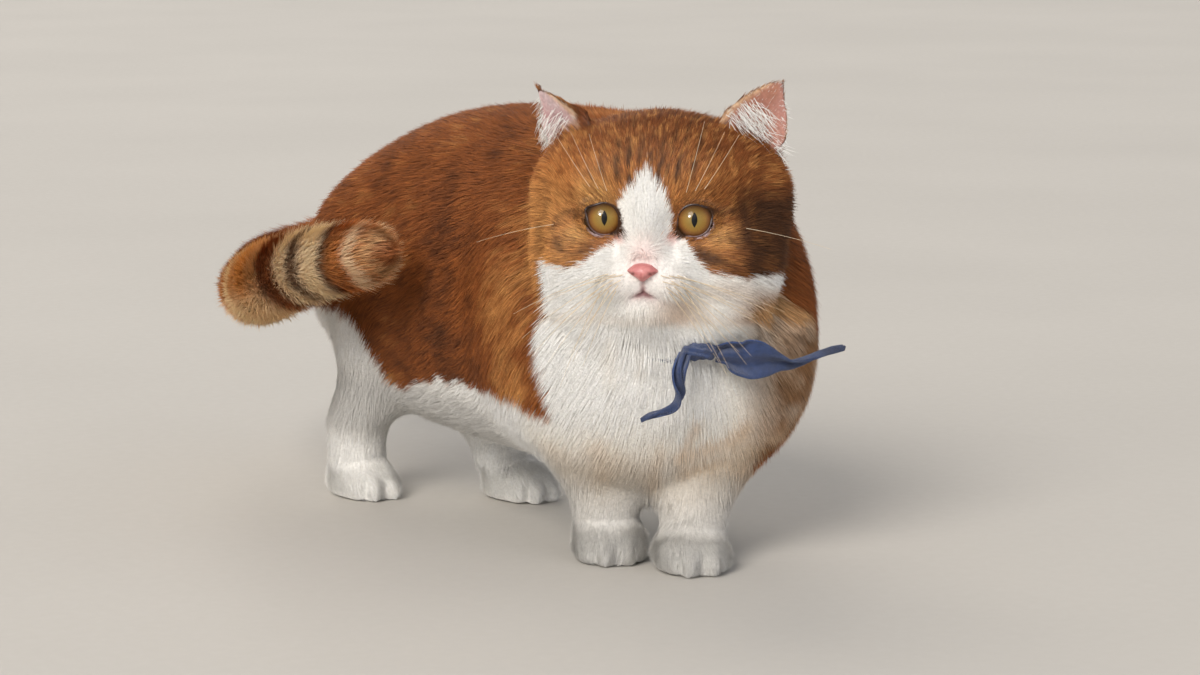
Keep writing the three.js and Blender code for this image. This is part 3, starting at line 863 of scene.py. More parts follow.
tones = {
    "white": tone(249, 247, 243), "cream": tone(236, 214, 184), "tan": tone(188, 144, 98),
    "brown": tone(146, 108, 74), "ochre": tone(216, 176, 126), "gold": tone(208, 148, 84),
    "paleGold": tone(226, 172, 104),
    "ringCream": tone(252, 226, 188), "ringTan": tone(228, 184, 134), "ringGold": tone(232, 176, 110),
    "ringOrange": tone(196, 124, 66), "ringRed": tone(156, 92, 48), "ringDark": tone(110, 64, 32),
    "orange": tone(160, 92, 42), "red": tone(118, 64, 28),
    "dark": tone(70, 42, 22), "pink": tone(232, 176, 170), "mauve": tone(172, 118, 120),
    "lavender": tone(206, 182, 186),
    "skinOrange": tone(176, 122, 98), "skinPale": tone(226, 206, 208),
}
faceMarks = {
    # the edge of the white round the head: degrees round from straight ahead, and the height there
    "edge": (
        (-180, -90), (-66, -90), (-61, -40), (-56, -13), (-47, -16), (-38, -15.9), (-31, -13.2), (-24, -7.8),
        (-18.5, -4.3),
        (-12.4, -2), (13.8, -1.2), (20.4, -3.6), (23.8, -10.5), (30, -16), (37, -18.6), (47, -19.4),
        (58, -18), (90, -19),
        (99, -26), (108, -90), (180, -90),
    ),
    # the blaze: heights on the forehead with half its width there, round a line left of the middle
    "blaze": ((-5, 12.2), (5, 11.9), (10, 12.4), (14, 11.6), (19.3, 8.4), (23, 5.9), (26.4, 3.6), (29.8, 1.5),
              (33, -2)),
    "blazeMiddle": -0.9,
    # forehead streaks: how far left each one starts and how strong it is
    "streaks": ((-27, 0.35), (-20, 0.55), (-13.5, 0.9), (-8.8, 1.0), (-4, 0.7), (0.5, 0.6), (4.6, 0.8),
                (9, 0.95),
                (13.5, 1.0), (19, 0.75), (25, 0.5), (31, 0.35)),
    "streakWide": 1.25,
    # cheek stripes as degrees round and height, with half their width and their strength
    "stripes": [
        (((-31, 9), (-40, 8.5), (-46, 6), (-48, 0), (-43, -6.5), (-35, -10.5), (-28, -7.5)), 1.7, 0.75),
        (((-57, 12), (-60, 2), (-57, -10)), 2.2, 0.6),
        (((31, 9.5), (43, 10.5), (60, 9), (80, 4)), 2.6, 0.9),
        (((25, -7), (33, -12), (42, -14.5), (60, -13), (84, -12)), 2.8, 0.95),
        (((40, -3), (52, -5), (70, -4)), 2.0, 0.7),
        (((46, 20), (62, 18), (84, 14)), 2.2, 0.7),
    ],
    "centreBack": 10,
}
bodyMarks = {
    # the height of the white's upper edge along the body, right and left side
    "rightY": (-127, -91, -57, -28, 5, 23, 33, 39, 45, 58, 100, 126),
    "rightZ": (72, 76, 76, 75, 68, 63, 67, 80, 94, 98, 97, 84),
    "leftY": (-160, -120, -60, -25, 0, 20, 60, 100, 126), "leftZ": (46, 66, 72, 72, 85, 98, 98, 96, 84),
    "chestMiddle": (18, -122, 0), "chestTurn": -30, "rightEdge": 38,
    "leftEdgeZ": (45, 58, 77, 116, 130, 146), "leftEdge": (40, 36, 30, 34, 62, 95),
    # flank stripes: place along the body, half width, depth of tone (below 0 is lighter); the broad dark band
    # behind the shoulder and the broad light one over it are partly markings, partly painted shade and
    # painted light
    "stripes": ((-33, 17, 0.9), (-98, 16, -0.7), (-66, 9, 0.35), (8, 10, 0.35), (40, 9, 0.45), (72, 10, 0.4),
                (102, 9, 0.5)),
    # tail rings: where each starts, measured from the tip, and its tone
    "rings": ((-30, "ringRed"), (7, "ringTan"), (10, "ringOrange"), (14, "ringCream"), (19.5, "ringOrange"),
              (31, "ringDark"),
              (35, "ringCream"), (50.5, "ringDark"), (55.5, "ringCream"), (66, "ringRed"), (83, "ringTan"),
              (97, "ringGold"),
              (112, "ringTan"), (128, "ringCream"), (142, "ringOrange"), (158, "ringGold"), (174, "red"),
              (196, "orange")),
    "ringEdge": 0.9,
    # painted shade in the folds of the breast, as places across it and their heights, with half their width
    # and their depth
    "folds": (
        (((10, 71), (5, 58)), 2.6, 0.55), (((4, 55), (16, 60), (27, 63), (34, 69)), 3.2, 0.7),
        (((-6, 60), (-6.5, 44), (-5, 36)), 3.5, 0.3), (((8, 46), (22, 49), (36, 46)), 4.5, 0.5),
        (((-34, 60), (-28, 42)), 5, 0.22), (((-31, 108), (-29, 92)), 3.4, 0.14),
        (((-18, 106), (-17, 94)), 2.4, 0.1),
    ),
}
noseRoot = fromHead((0, 40, -8))


def lineDistance(x, y, route):
    # the distance from a route of straight stretches in a plane
    found = np.full(len(x), 1e9)
    for (ax, ay), (bx, by) in zip(route[:-1], route[1:]):
        dx, dy = bx - ax, by - ay
        t = np.clip(((x - ax) * dx + (y - ay) * dy) / (dx * dx + dy * dy), 0, 1)
        found = np.minimum(found, np.hypot(x - ax - t * dx, y - ay - t * dy))
    return found


def roundHead(q):
    # degrees round from straight ahead, to the left
    return np.degrees(np.arctan2(q[:, 0], q[:, 1] + faceMarks["centreBack"]))


def headWhite(q, points):
    # above 0 where the head is white, in millimetres from the edge
    turns, heights = zip(*faceMarks["edge"])
    edge = np.interp(roundHead(q), turns, heights) - q[:, 2]
    heights, widths = zip(*faceMarks["blaze"])
    blaze = np.interp(q[:, 2], heights, widths) - np.abs(q[:, 0] - faceMarks["blazeMiddle"])
    blaze = np.where((q[:, 1] > 15) & (q[:, 2] > -6), blaze, -20)
    ragged = headStreaks(points, 1.6, 17) * ease(12, 22, q[:, 2])
    return np.maximum(edge, blaze) + 1.2 * drift(points, 5, 3) + 0.8 * drift(points, 2, 4) + 1.6 * ragged


def bodyWhite(points):
    x, y, z = points.T
    middle = np.interp(y, trunkLine[::-1, 1], trunkLine[::-1, 0])
    left = ease(-14, 14, x - middle)
    low = mix(np.interp(y, bodyMarks["rightY"], bodyMarks["rightZ"]),
              np.interp(y, bodyMarks["leftY"], bodyMarks["leftZ"]), left)
    under = low - z
    ahead, side = heading(bodyMarks["chestTurn"])
    away = points - np.array(bodyMarks["chestMiddle"])
    edge = mix(bodyMarks["rightEdge"], np.interp(z, bodyMarks["leftEdgeZ"], bodyMarks["leftEdge"]),
               ease(-20, 20, dots(away, side)))
    breast = dots(away, ahead) - edge
    return np.maximum(under, breast) + 2.6 * drift(points, 9, 5) + 1.6 * drift(points, 3.5, 6)


def headStreaks(points, size, seed):
    # noise drawn out along the hairs of the head, which run away from the nose
    away = points - noseRoot
    far = np.linalg.norm(away, axis=1, keepdims=True)
    return drift(away / far * 60 + far * 0.1, size, seed)


def toned(base, name, share):
    return mix(base, tones[name], np.clip(share, 0, 1)[:, None])


def headTone(q, points):
    turn = roundHead(q)
    left, ahead, up = q.T
    fine = headStreaks(points, 1.2, 15)
    broad = headStreaks(points, 3.4, 16)
    base = np.broadcast_to(mix(tones["orange"], tones["gold"], 0.22), (len(points), 3))
    # pale gold over and under the eyes, deep red on the crown, the nape and the backs of the ears; the brow's
    # pale gold is weaker and the head redder on the left, partly the fur's own colour and partly painted
    # shade on the side away from the light
    brow = (bell(np.hypot(np.abs(left) - 25, (up - 17) * 1.3), 10) * (ahead > 10)
            * mix(1, 0.25, ease(-5, 5, left)))
    under = bell(np.hypot(np.abs(left) - 33, (up + 1) * 1.2), 7) * (ahead > 10)
    outer = ease(-26, -40, left) * ease(30, 12, up) * 0.4
    base = toned(base, "paleGold", 0.85 * np.maximum(np.maximum(brow, under), outer))
    base = toned(base, "red", 0.6 * ease(22, 40, left) * ease(2, 14, up))
    base = toned(base, "red", 0.75 * ease(27, 44, up) + 0.6 * ease(14, -12, ahead) + 0.5 * ease(46, 54, up))
    dark = np.zeros(len(points))
    for start, deep in faceMarks["streaks"]:
        fan = start * (1 + 0.008 * (up - 24)) + 1.1 * drift(points, 7, 11)
        low = 15 + 0.4 * abs(start)
        broken = ease(-0.45, 0.25, drift(points * [1, 1, 0.5], 4.5, 12 + int(abs(start))))
        strength = deep * ease(low, low + 6, up) * mix(1, 0.55, ease(34, 46, up)) * broken
        dark = np.maximum(dark, bell(left - fan, faceMarks["streakWide"]) * strength * ease(-20, 0, ahead))
    for route, wide, deep in faceMarks["stripes"]:
        away = lineDistance(turn, up, route)
        uneven = 0.85 + 0.3 * drift(points, 4, 14)
        dark = np.maximum(dark, deep * bell(away + 1.6 * drift(points, 6, 13), wide) * uneven)
    # the left cheek is painted darker: partly its own darker fur, partly painted shade on the side away from
    # the light
    cheek = ease(36, 50, turn) * ease(-27, -17, up) * ease(26, 12, up) * (1.05 + 0.4 * drift(points, 6, 18))
    dark = np.maximum(dark, cheek)
    base = toned(base, "gold", 0.75 * fine + 0.3 * broad)
    base = toned(base, "red", -0.6 * fine - 0.4 * broad)
    ticked = ease(14, 24, up) * ease(34, 22, np.abs(left)) * ease(-10, 8, ahead)
    dark = dark + ticked * 0.5 * np.clip(-fine - 0.1, 0, 1)
    return toned(base, "dark", np.minimum(0.9 * dark, 0.96))


def bodyTone(points):
    x, y, z = points.T
    warp = 7 * drift(points, 34, 21) + 3 * drift(points, 13, 22)
    depth = np.full(len(points), 0.12)
    for place, wide, deep in bodyMarks["stripes"]:
        depth += deep * bell(y + warp - place, wide) * mix(1, 0.4, ease(120, 200, z))
    depth += (0.36 * drift(points, 11, 23) + 0.42 * drift(points * [1, 0.6, 1], 4, 24)
              + 0.4 * drift(points * [1, 0.5, 1], 1.9, 25))
    base = np.broadcast_to(mix(tones["orange"], tones["red"], 0.5), (len(points), 3))
    base = toned(base, "red", depth)
    base = toned(base, "gold", -0.75 * depth)
    return toned(base, "dark", 0.7 * (depth - 0.5))


def tailTone(points):
    place, way, high = tailPlace(points)
    start = place + 1.8 * drift(points, 8, 31) + 1.1 * drift(points, 3, 32)
    found = np.broadcast_to(tones["ringRed"], (len(points), 3))
    for at, name in bodyMarks["rings"]:
        found = toned(found, name, 1 / (1 + np.exp(np.clip((at - start) / bodyMarks["ringEdge"], -30, 30))))
    return toned(found, "ringCream", 0.8 * ease(0, -13, high) * ease(74, 92, place))


def paleTone(points, q):
    # the white is tinged on the cat's left breast, under the chin, in the folds of the chest and on the legs:
    # partly the fur's own cream and tan, partly painted shade
    ahead, side = heading(bodyMarks["chestTurn"])
    away = points - np.array(bodyMarks["chestMiddle"])
    across, front, height = dots(away, side), dots(away, ahead), points[:, 2]
    body = ease(-38, -44, q[:, 2])
    cloud = 1 + 0.3 * drift(points, 14, 41)
    # cream on the cat's left breast and the lower chest, partly the fur's own tinge, partly painted shade
    breast = ease(12, 60, across) * ease(28, 58, height) * (front > 0) * cloud
    lower = bell(height - 46, 19) * ease(0, 25, front) * cloud
    fold = np.zeros(len(points))
    for route, wide, deep in bodyMarks["folds"]:
        near = lineDistance(across, height, route) + 1.5 * drift(points, 8, 42)
        fold = np.maximum(fold, deep * bell(near, wide) * (front > 22))
    turn = roundHead(q)
    # tan under the chin, along the left jaw and under the jaw: painted shade
    chin = 0.5 * bell(np.hypot((turn - 17) / 1.5, q[:, 2] + 35), 8) * ease(-27, -31, q[:, 2])
    jaw = (1.05 * ease(36, 68, turn) * ease(-21, -34, q[:, 2])
           + 0.25 * bell(np.hypot((turn - 40) / 3, q[:, 2] + 25), 5))
    under = 0.2 * bell(q[:, 2] + 42, 5)
    found = np.broadcast_to(tones["white"], (len(points), 3))
    found = toned(found, "cream", body * (0.85 * breast + 0.5 * lower))
    # the belly and forelegs are darkened: painted shade
    belly = ease(-75, -40, points[:, 1]) * ease(78, 58, height) * ease(30, 40, height)
    fore = ease(-70, -100, points[:, 1]) * ease(62, 40, height)
    found = found * (1 - body * np.maximum(0.26 * belly, 0.28 * fore))[:, None]
    # ochre in the folds of the breast: painted shade in the folds
    found = toned(found, "ochre", body * 0.62 * fold)
    # brown on the cat's left breast: painted shade on the side away from the light
    uneven = 0.85 + 0.3 * drift(points, 7, 43)
    found = toned(found, "brown", body * ease(28, 52, across) * ease(20, 50, height) * uneven)
    return toned(found, "tan", (1 - body) * (chin + jaw + under))


def coatTone(points, weights, scatter):
    # the colour of the coat at each place; scatter moves each root's edges about, in millimetres
    q = toHead(points)
    headPart, tailPart = shareOf(weights, "head", "face", "ear"), shareOf(weights, "tail")
    white = mix(bodyWhite(points), headWhite(q, points), ease(0.35, 0.65, headPart)) + scatter
    white = np.where(tailPart > 0.5, -20, white)
    coloured = mix(bodyTone(points), headTone(q, points), ease(0.3, 0.7, headPart)[:, None])
    coloured = mix(coloured, tailTone(points), ease(0.35, 0.65, tailPart)[:, None])
    found = mix(coloured, paleTone(points, q), ease(-0.9, 0.9, white)[:, None])
    # pink skin shows through on the bridge of the nose, the pads and round the mouth; the mauve round the
    # mouth is partly painted shade
    mouth, groove = mouthDistance(q)
    front = q[:, 1] > 30
    side = np.abs(q[:, 0])
    bridge = (0.42 * bell(np.hypot(q[:, 0] * 0.9, (q[:, 2] + 9) * 0.8), 6.5)
              + 0.08 * bell(np.hypot(side - 12, q[:, 2] + 23), 8))
    bridge += 0.6 * bell(np.hypot(side - 12, q[:, 2] + 2), 2.6)
    # mauve on the lips and in the groove under the nose, partly their own colour, and painted shade spread
    # softly round the mouth and at its middle
    lipsAndShade = 0.55 * bell(np.minimum(mouth, groove), 1.4) * ease(7.5, 2, side) + 0.14 * bell(mouth, 4)
    lipsAndShade += 0.35 * bell(np.hypot(q[:, 0], (q[:, 2] + 27) * 1.3), 3.4)
    found = toned(found, "pink", bridge * front)
    return toned(found, "mauve", lipsAndShade * front)


def freckles(q):
    # rows of dark whisker roots on the pads
    dark = np.zeros(len(q))
    for side in (-1, 1):
        for row in range(4):
            for k in range(5):
                at = (side * (7 + 3.3 * k + row), -17.5 - 2.6 * row - 0.35 * k)
                dark = np.maximum(dark, bell(np.hypot(q[:, 0] - at[0], q[:, 2] - at[1]), 0.55))
    return dark * (q[:, 1] > 30)


# The lie of the coat: the way that each tuft points, along the skin

def coatLie(skin, weights):
    points, normals = skin.points, skin.normals()
    ways = np.zeros((len(regionNames), skin.count, 3))
    at = {name: i for i, name in enumerate(regionNames)}
    nose = fromHead((0, 44, -8))
    q = toHead(points)
    fromNose = unit(points - nose)
    ways[at["face"]] = unit(fromNose + 0.25 * headAxes[2] * ease(0, 14, q[:, 2])[:, None])
    backDown = -headAxes[1] * 0.9 - headAxes[2] * 0.45
    sagging = headAxes[2] * (0.7 * ease(-24, -36, q[:, 2]))[:, None]
    ways[at["head"]] = unit(fromNose * 0.6 + backDown * 0.7 - sagging)
    ears = np.zeros((skin.count, 3))
    for ear in earPair:
        local, spin = earCoords(points, ear)
        rise = (spin @ np.array([0, 0, 1])) * [1, -1, 1]
        own = (q[:, 0] * ear["side"] > 0)[:, None]
        ears = np.where(own, rise @ headAxes, ears)
    ways[at["ear"]] = ears
    turn = np.interp(points[:, 1], trunkLine[::-1, 1], trunkLine[::-1, 2])
    back = -np.column_stack([np.sin(np.radians(turn)), -np.cos(np.radians(turn)), np.zeros(skin.count)])
    down = np.array([0, 0, -1.0])
    steep = 1 - ease(0.2, 0.9, np.abs(normals[:, 2]))
    ways[at["trunk"]] = back + down * (0.62 * steep)[:, None]
    chestAhead, chestSide = heading(bodyMarks["chestTurn"])
    across = dots(points - np.array(bodyMarks["chestMiddle"]), chestSide)
    ways[at["chest"]] = down + chestSide * (0.012 * across)[:, None] - chestAhead * 0.35
    ways[at["neck"]] = down * 0.8 - chestAhead * 0.75
    ways[at["leg"]] = down + 0.15 * back
    feet = np.zeros((skin.count, 3))
    for paw in paws.values():
        ahead, side = heading(paw["turn"])
        away = points - np.array(paw["middle"])
        own = np.hypot(away[:, 0], away[:, 1]) < 34
        fan = ahead + side * (0.03 * dots(away, side))[:, None]
        feet[own] = (fan + down * 0.7)[own]
    ways[at["paw"]] = feet
    ways[at["tail"]] = tailPlace(points)[1]
    lie = np.einsum("vr,rvk->vk", weights, ways)
    for step in range(3):
        lie = lie - normals * dots(lie, normals)[:, None]
        lie = skin.spread(unit(lie), 3)
    return unit(lie - normals * dots(lie, normals)[:, None])


# Tufts: one template, copied to every root

def tuftTemplate(bent):
    # a long thin three-sided cone with one side outwards, and flatter than it is wide
    bm = bmesh.new()
    bmesh.ops.create_cone(bm, cap_ends=True, segments=3, radius1=0.5, radius2=0, depth=1)
    bmesh.ops.translate(bm, verts=bm.verts, vec=(0, 0, 0.5))
    bmesh.ops.remove_doubles(bm, verts=bm.verts, dist=1e-4)
    keel = min((v for v in bm.verts if v.co.z < 0.5), key=lambda v: abs(v.co.x))
    if keel.co.y > 0:
        bmesh.ops.rotate(bm, verts=bm.verts, matrix=Matrix.Rotation(math.pi, 3, "Z"))
    bmesh.ops.scale(bm, verts=bm.verts, vec=(1.15, 0.5, 1))
    if bent:
        whole = bm.verts[:] + bm.edges[:] + bm.faces[:]
        ring = bmesh.ops.bisect_plane(bm, geom=whole, plane_co=(0, 0, 0.5), plane_no=(0, 0, 1))
        rim = [v for v in ring["geom_cut"] if isinstance(v, bmesh.types.BMVert)]
        bmesh.ops.scale(bm, verts=rim, vec=(1.5, 1.5, 1))
    bmesh.ops.triangulate(bm, faces=bm.faces)
    bmesh.ops.recalc_face_normals(bm, faces=bm.faces)
    bm.verts.index_update()
    points = np.array([v.co for v in bm.verts])
    triangles = np.array([[v.index for v in face.verts] for face in bm.faces])
    bm.free()
    return points, triangles


templates = {bent: tuftTemplate(bent) for bent in (False, True)}
patch = 0.003


def tuftMesh(name, roots, bent):
    # roots: arrays of place, way, normal, long, wide, curl, the root's and the tip's tone and map; the root's
    # tone is darkened by painted shade
    shape, triangles = templates[bent]
    count = len(roots["place"])
    way = unit(roots["way"])
    side = unit(np.cross(roots["normal"], way))
    rise = np.cross(way, side)
    x, y, z = shape.T
    wide, long = roots["wide"][:, None, None], roots["long"][:, None, None]
    points = roots["place"][:, None] + side[:, None] * (x[None, :, None] * wide)
    points = points + rise[:, None] * (y[None, :, None] * wide)
    points = points + way[:, None] * (z[None, :, None] * long)
    points = points - roots["normal"][:, None] * (z[None, :, None] ** 2 * roots["curl"][:, None, None])
    points = points.reshape(-1, 3)
    points[:, 2] = np.maximum(points[:, 2], 0.15)
    faces = (triangles[None] + (np.arange(count) * len(shape))[:, None, None]).reshape(-1, 3)
    # each tuft's colour runs from the painted shade at its root to its tip
    shade = z[None, :, None] ** 0.8
    colours = mix(roots["shadedRootTone"][:, None], roots["tipTone"][:, None], shade).reshape(-1, 3)
    spot = np.column_stack([x, 0.8 * z - 0.3 * y - 0.4]) * patch
    places = (roots["map"][:, None] + spot[None]).reshape(-1, 2)
    mesh = bpy.data.meshes.new(name)
    mesh.vertices.add(len(points))
    mesh.vertices.foreach_set("co", (points * mm).ravel())
    mesh.loops.add(faces.size)
    mesh.loops.foreach_set("vertex_index", faces.ravel())
    mesh.polygons.add(len(faces))
    mesh.polygons.foreach_set("loop_start", np.arange(0, faces.size, 3))
    mesh.polygons.foreach_set("use_smooth", np.zeros(len(faces), bool))
    mesh.update(calc_edges=True)
    storeColours(mesh, "coatColour", colours)
    own = mesh.uv_layers.new(name="OFBake")
    own.data.foreach_set("uv", np.clip(places[faces.ravel()], 0, 1).ravel())
    return mesh


class Roots:
    # the skin as triangles that tufts can be sown on

    def __init__(self, skin, weights):
        mesh = skin.mesh
        mesh.calc_loop_triangles()
        count = len(mesh.loop_triangles)
        corners, loops = np.empty(count * 3, np.int64), np.empty(count * 3, np.int64)
        mesh.loop_triangles.foreach_get("vertices", corners)
        mesh.loop_triangles.foreach_get("loops", loops)
        self.corners = corners.reshape(-1, 3)
        flat = np.empty(len(mesh.loops) * 2)
        mesh.uv_layers["OFBake"].data.foreach_get("uv", flat)
        self.map = flat.reshape(-1, 2)[loops.reshape(-1, 3)]
        self.skin, self.weights = skin, weights
        self.normals = skin.normals()
        a, b, c = (skin.points[self.corners[:, k]] for k in range(3))
        self.area = np.linalg.norm(np.cross(b - a, c - a), axis=1) / 2

    def sow(self, thick):
        # places so many to the square millimetre, thick being a value for each vertex
        load = np.cumsum(self.area * thick[self.corners].mean(1))
        count = int(load[-1])
        chosen = np.searchsorted(load, (np.arange(count) + draws.random(count)) * load[-1] / count)
        chosen = np.minimum(chosen, len(self.area) - 1)
        share = draws.random((count, 2))
        over = share.sum(1) > 1
        share[over] = 1 - share[over]
        shares = np.column_stack([1 - share.sum(1), share])
        self.chosen, self.shares = chosen, shares
        return count

    def at(self, values):
        # values of the vertices at the sown places
        picked = values[self.corners[self.chosen]]
        return np.einsum("nk,nk...->n...", self.shares, picked)

    def mapped(self):
        return np.einsum("nk,nkj->nj", self.shares, self.map[self.chosen])


def unwrapSkin(skin):
    made = bpy.data.objects.new("unwrapping", skin.mesh)
    bpy.context.scene.collection.objects.link(made)
    bpy.context.view_layer.objects.active = made
    made.select_set(True)
    skin.mesh.uv_layers.new(name="OFBake")
    bpy.ops.object.mode_set(mode="EDIT")
    bpy.ops.mesh.select_all(action="SELECT")
    bpy.ops.uv.smart_project(angle_limit=math.radians(66), island_margin=0.002)
    bpy.ops.object.mode_set(mode="OBJECT")
    bpy.data.objects.remove(made)


skin, weights = buildSkin()
unwrapSkin(skin)
say("skin unwrapped")


def furMaterial(name, grainScale, depth, bumpDepth):
    shader = Shader(name)
    colour = shader.add("VertexColor", layer_name="coatColour").outputs["Color"]
    grain = shader.add("Group", node_tree=hairGrain)
    grain.inputs["Scale"].default_value = grainScale
    grain.inputs["Depth"].default_value = depth
    shader.put(grain.inputs["Colour"], colour)
    shader.set(Base_Color=grain.outputs["Colour"], Specular_IOR_Level=0.18)
    shader.set(Roughness=shader.span(grain.outputs["Height"], 0.3, 0.7, 0.5, 0.75))
    shader.bump(grain.outputs["Height"], bumpDepth)
    return shader.material


hairGrain = strandGroup()
coatMaterial = furMaterial("catFur", 900, 0.14, 0.0002)
skinMaterial = furMaterial("catUnderfur", 700, 0.2, 0.0003)


def earInside(skin, weights):
    # 1 in the hollow of an ear, by where the skin faces
    normals = skin.normals()
    inside = np.zeros(skin.count)
    q = toHead(skin.points)
    for ear in earPair:
        local, spin = earCoords(skin.points, ear)
        facing = -(spin @ np.array([0, 1, 0])) * [1, -1, 1] @ headAxes
        own = (q[:, 0] * ear["side"] > 0) & (local[:, 2] > 4)
        towards = -local[:, 0] / earLeaf(local, ear)[0]
        bare = ease(0.15, 0.5, dots(normals, facing)) * ease(ear["border"] + 0.06, ear["border"], towards)
        inside = np.where(own, bare, inside)
    return inside * ease(0.3, 0.7, shareOf(weights, "ear"))


def earTone(points):
    # the hollow of each ear: its own tone in the middle, a thin cream line by the crown,
    # and a shaded pocket at the left ear's foot
    q = toHead(points)
    found = np.zeros((len(points), 3))
    for ear in earPair:
        local, spin = earCoords(points, ear)
        towards = -local[:, 0] / earLeaf(local, ear)[0]
        height = local[:, 2] / ear["reach"]
        shade = toned(np.broadcast_to(tones[ear["hollow"]], found.shape), "mauve",
                      0.3 + 0.4 * drift(points, 7, 72))
        shade = toned(shade, "pink", 0.3 * ease(0.1, -0.8, towards))
        shade = toned(shade, "gold", 0.7 * bell(towards - ear["border"], 0.16))
        shade = toned(shade, "cream", 0.6 * bell(towards - ear["border"] + 0.03, 0.07))
        shade = toned(shade, "dark", 0.55 * ease(0.42, 0.2, height) * (ear["side"] > 0))
        found = np.where((q[:, 0] * ear["side"] > 0)[:, None], shade, found)
    return found


def paintSkin(skin, weights, inner):
    colours = coatTone(skin.points, weights, np.zeros(skin.count))
    # the skin under the coat is darker than the coat, painted shade between the tufts, less so where it is
    # pale
    colours = colours * mix(0.6, 0.96, ease(0.35, 0.6, colours.mean(1)))[:, None]
    colours = mix(colours, earTone(skin.points), (inner * 0.95)[:, None])
    for eye in eyes.values():
        # a thin dark edge, and the bare skin of the lower lid
        share = openShare(skin.points, eye)
        colours = mix(colours, tones["lavender"], bareLid(skin.points, eye)[:, None])
        colours = mix(colours, tones["dark"] * 0.8, (1 - ease(1.03, 1.09, share))[:, None])
    storeColours(skin.mesh, "coatColour", colours)
    smoothFaces(skin.mesh)


inner = earInside(skin, weights)
paintSkin(skin, weights, inner)
finishMesh(skin.mesh, "skin", skinMaterial, nodeRegions)
say("skin painted")

# the scarf's line round the neck, which the coat has to know before the scarf is built
scarfShape = {
    "middle": np.array([8, -142, 140.0]), "turn": -34, "tilt": 40,
    # the roll lies deeper in the fur away from the knot
    "side": 57, "front": 57, "back": 73, "sunk": 3.5, "proud": 1.0, "thick": 3.0,
    "knot": np.array([-11.5, -190.5, 106.8]), "knotSize": (8.6, 5.0, 4.4), "cloth": 0.9,
}


def bandTurn():
    # how the scarf's band is turned and tilted
    turn, tilt = math.radians(scarfShape["turn"]), math.radians(scarfShape["tilt"])
    return Matrix.Rotation(turn, 3, "Z") @ Matrix.Rotation(tilt, 3, "X")


growth = {
    "share": 1.0, "mostTriangles": 190000,
    "sway": 0.24, "swaySize": 9, "ruffle": 0.11, "ruffleSize": 2.8, "stray": 0.09, "uneven": 0.16,
    # the longer hair under the jaw: how much longer, and how many degrees further out
    "ruffLong": 1.9, "ruffLift": 9,
    # the fringe that falls over the scarf: its roots' height over the band, how far they spread,
    # and the same two
    "fringeAt": 7, "fringeWide": 5, "fringeLong": 1.7, "fringeLift": 15,
    # where along a tuft its marking is read, so that the markings stay in place
    "seenAt": 0.5,
}


def ruffShare(q):
    # 1 under the jaw, and a little on the cheeks
    turn = np.abs(roundHead(q))
    cheek = ease(44, 60, turn) * ease(108, 84, turn) * ease(22, 4, q[:, 2])
    return np.maximum(0.05 * cheek, ease(-25, -36, q[:, 2]) * ease(125, 100, turn))


def fringeShare(points):
    # 1 along the line just above the scarf's band, on the breast
    away = points - scarfShape["middle"]
    above = dots(away, np.array(bandTurn() @ Vector((0, 0, 1))))
    front = dots(away, heading(scarfShape["turn"])[0])
    return bell(above - growth["fringeAt"], growth["fringeWide"]) * ease(12, 34, front)


def growthPlan(skin, weights, inner):
    # how thickly the tufts stand at each vertex, and what share of their length they have there
    thick = blended(weights, "thick") * (1 - 0.85 * inner)
    q = toHead(skin.points)
    up, facing = skin.points[:, 2], skin.normals()[:, 2]
    short = mix(0.4, 1, ease(1.5, 9, up))
    for eye in eyes.values():
        share = openShare(skin.points, eye)
        thick = thick * ease(1.05, 1.11, share) * (1 - 0.9 * bareLid(skin.points, eye))
        short = short * mix(0.42, 1, ease(1.05, 2.1, share))
    mouth, groove = mouthDistance(q)
    line = np.where(q[:, 1] > 30, np.minimum(mouth, groove), 99)
    thick = thick * mix(0.25, 1, ease(0.5, 1.4, line))
    short = short * mix(0.5, 1, ease(0.5, 6, line))
    fromNose = np.linalg.norm((q - [0, 50, -17.2]) / [8.2, 12, 5.2], axis=1)
    thick = thick * ease(0.72, 0.92, fromNose)
    short = short * mix(0.3, 1, ease(0.9, 2.6, fromNose))
    thick = thick * mix(1, 0.6, ease(-0.3, -0.8, facing)) * ((up > 1.6) | (facing > -0.6))
    ruff = ruffShare(q) * ease(0.4, 0.8, shareOf(weights, "head"))
    fringe = fringeShare(skin.points) * (1 - ruff)
    short = short * mix(1, growth["ruffLong"], ruff) * mix(1, growth["fringeLong"], fringe)
    return thick, short, growth["ruffLift"] * ruff + growth["fringeLift"] * fringe


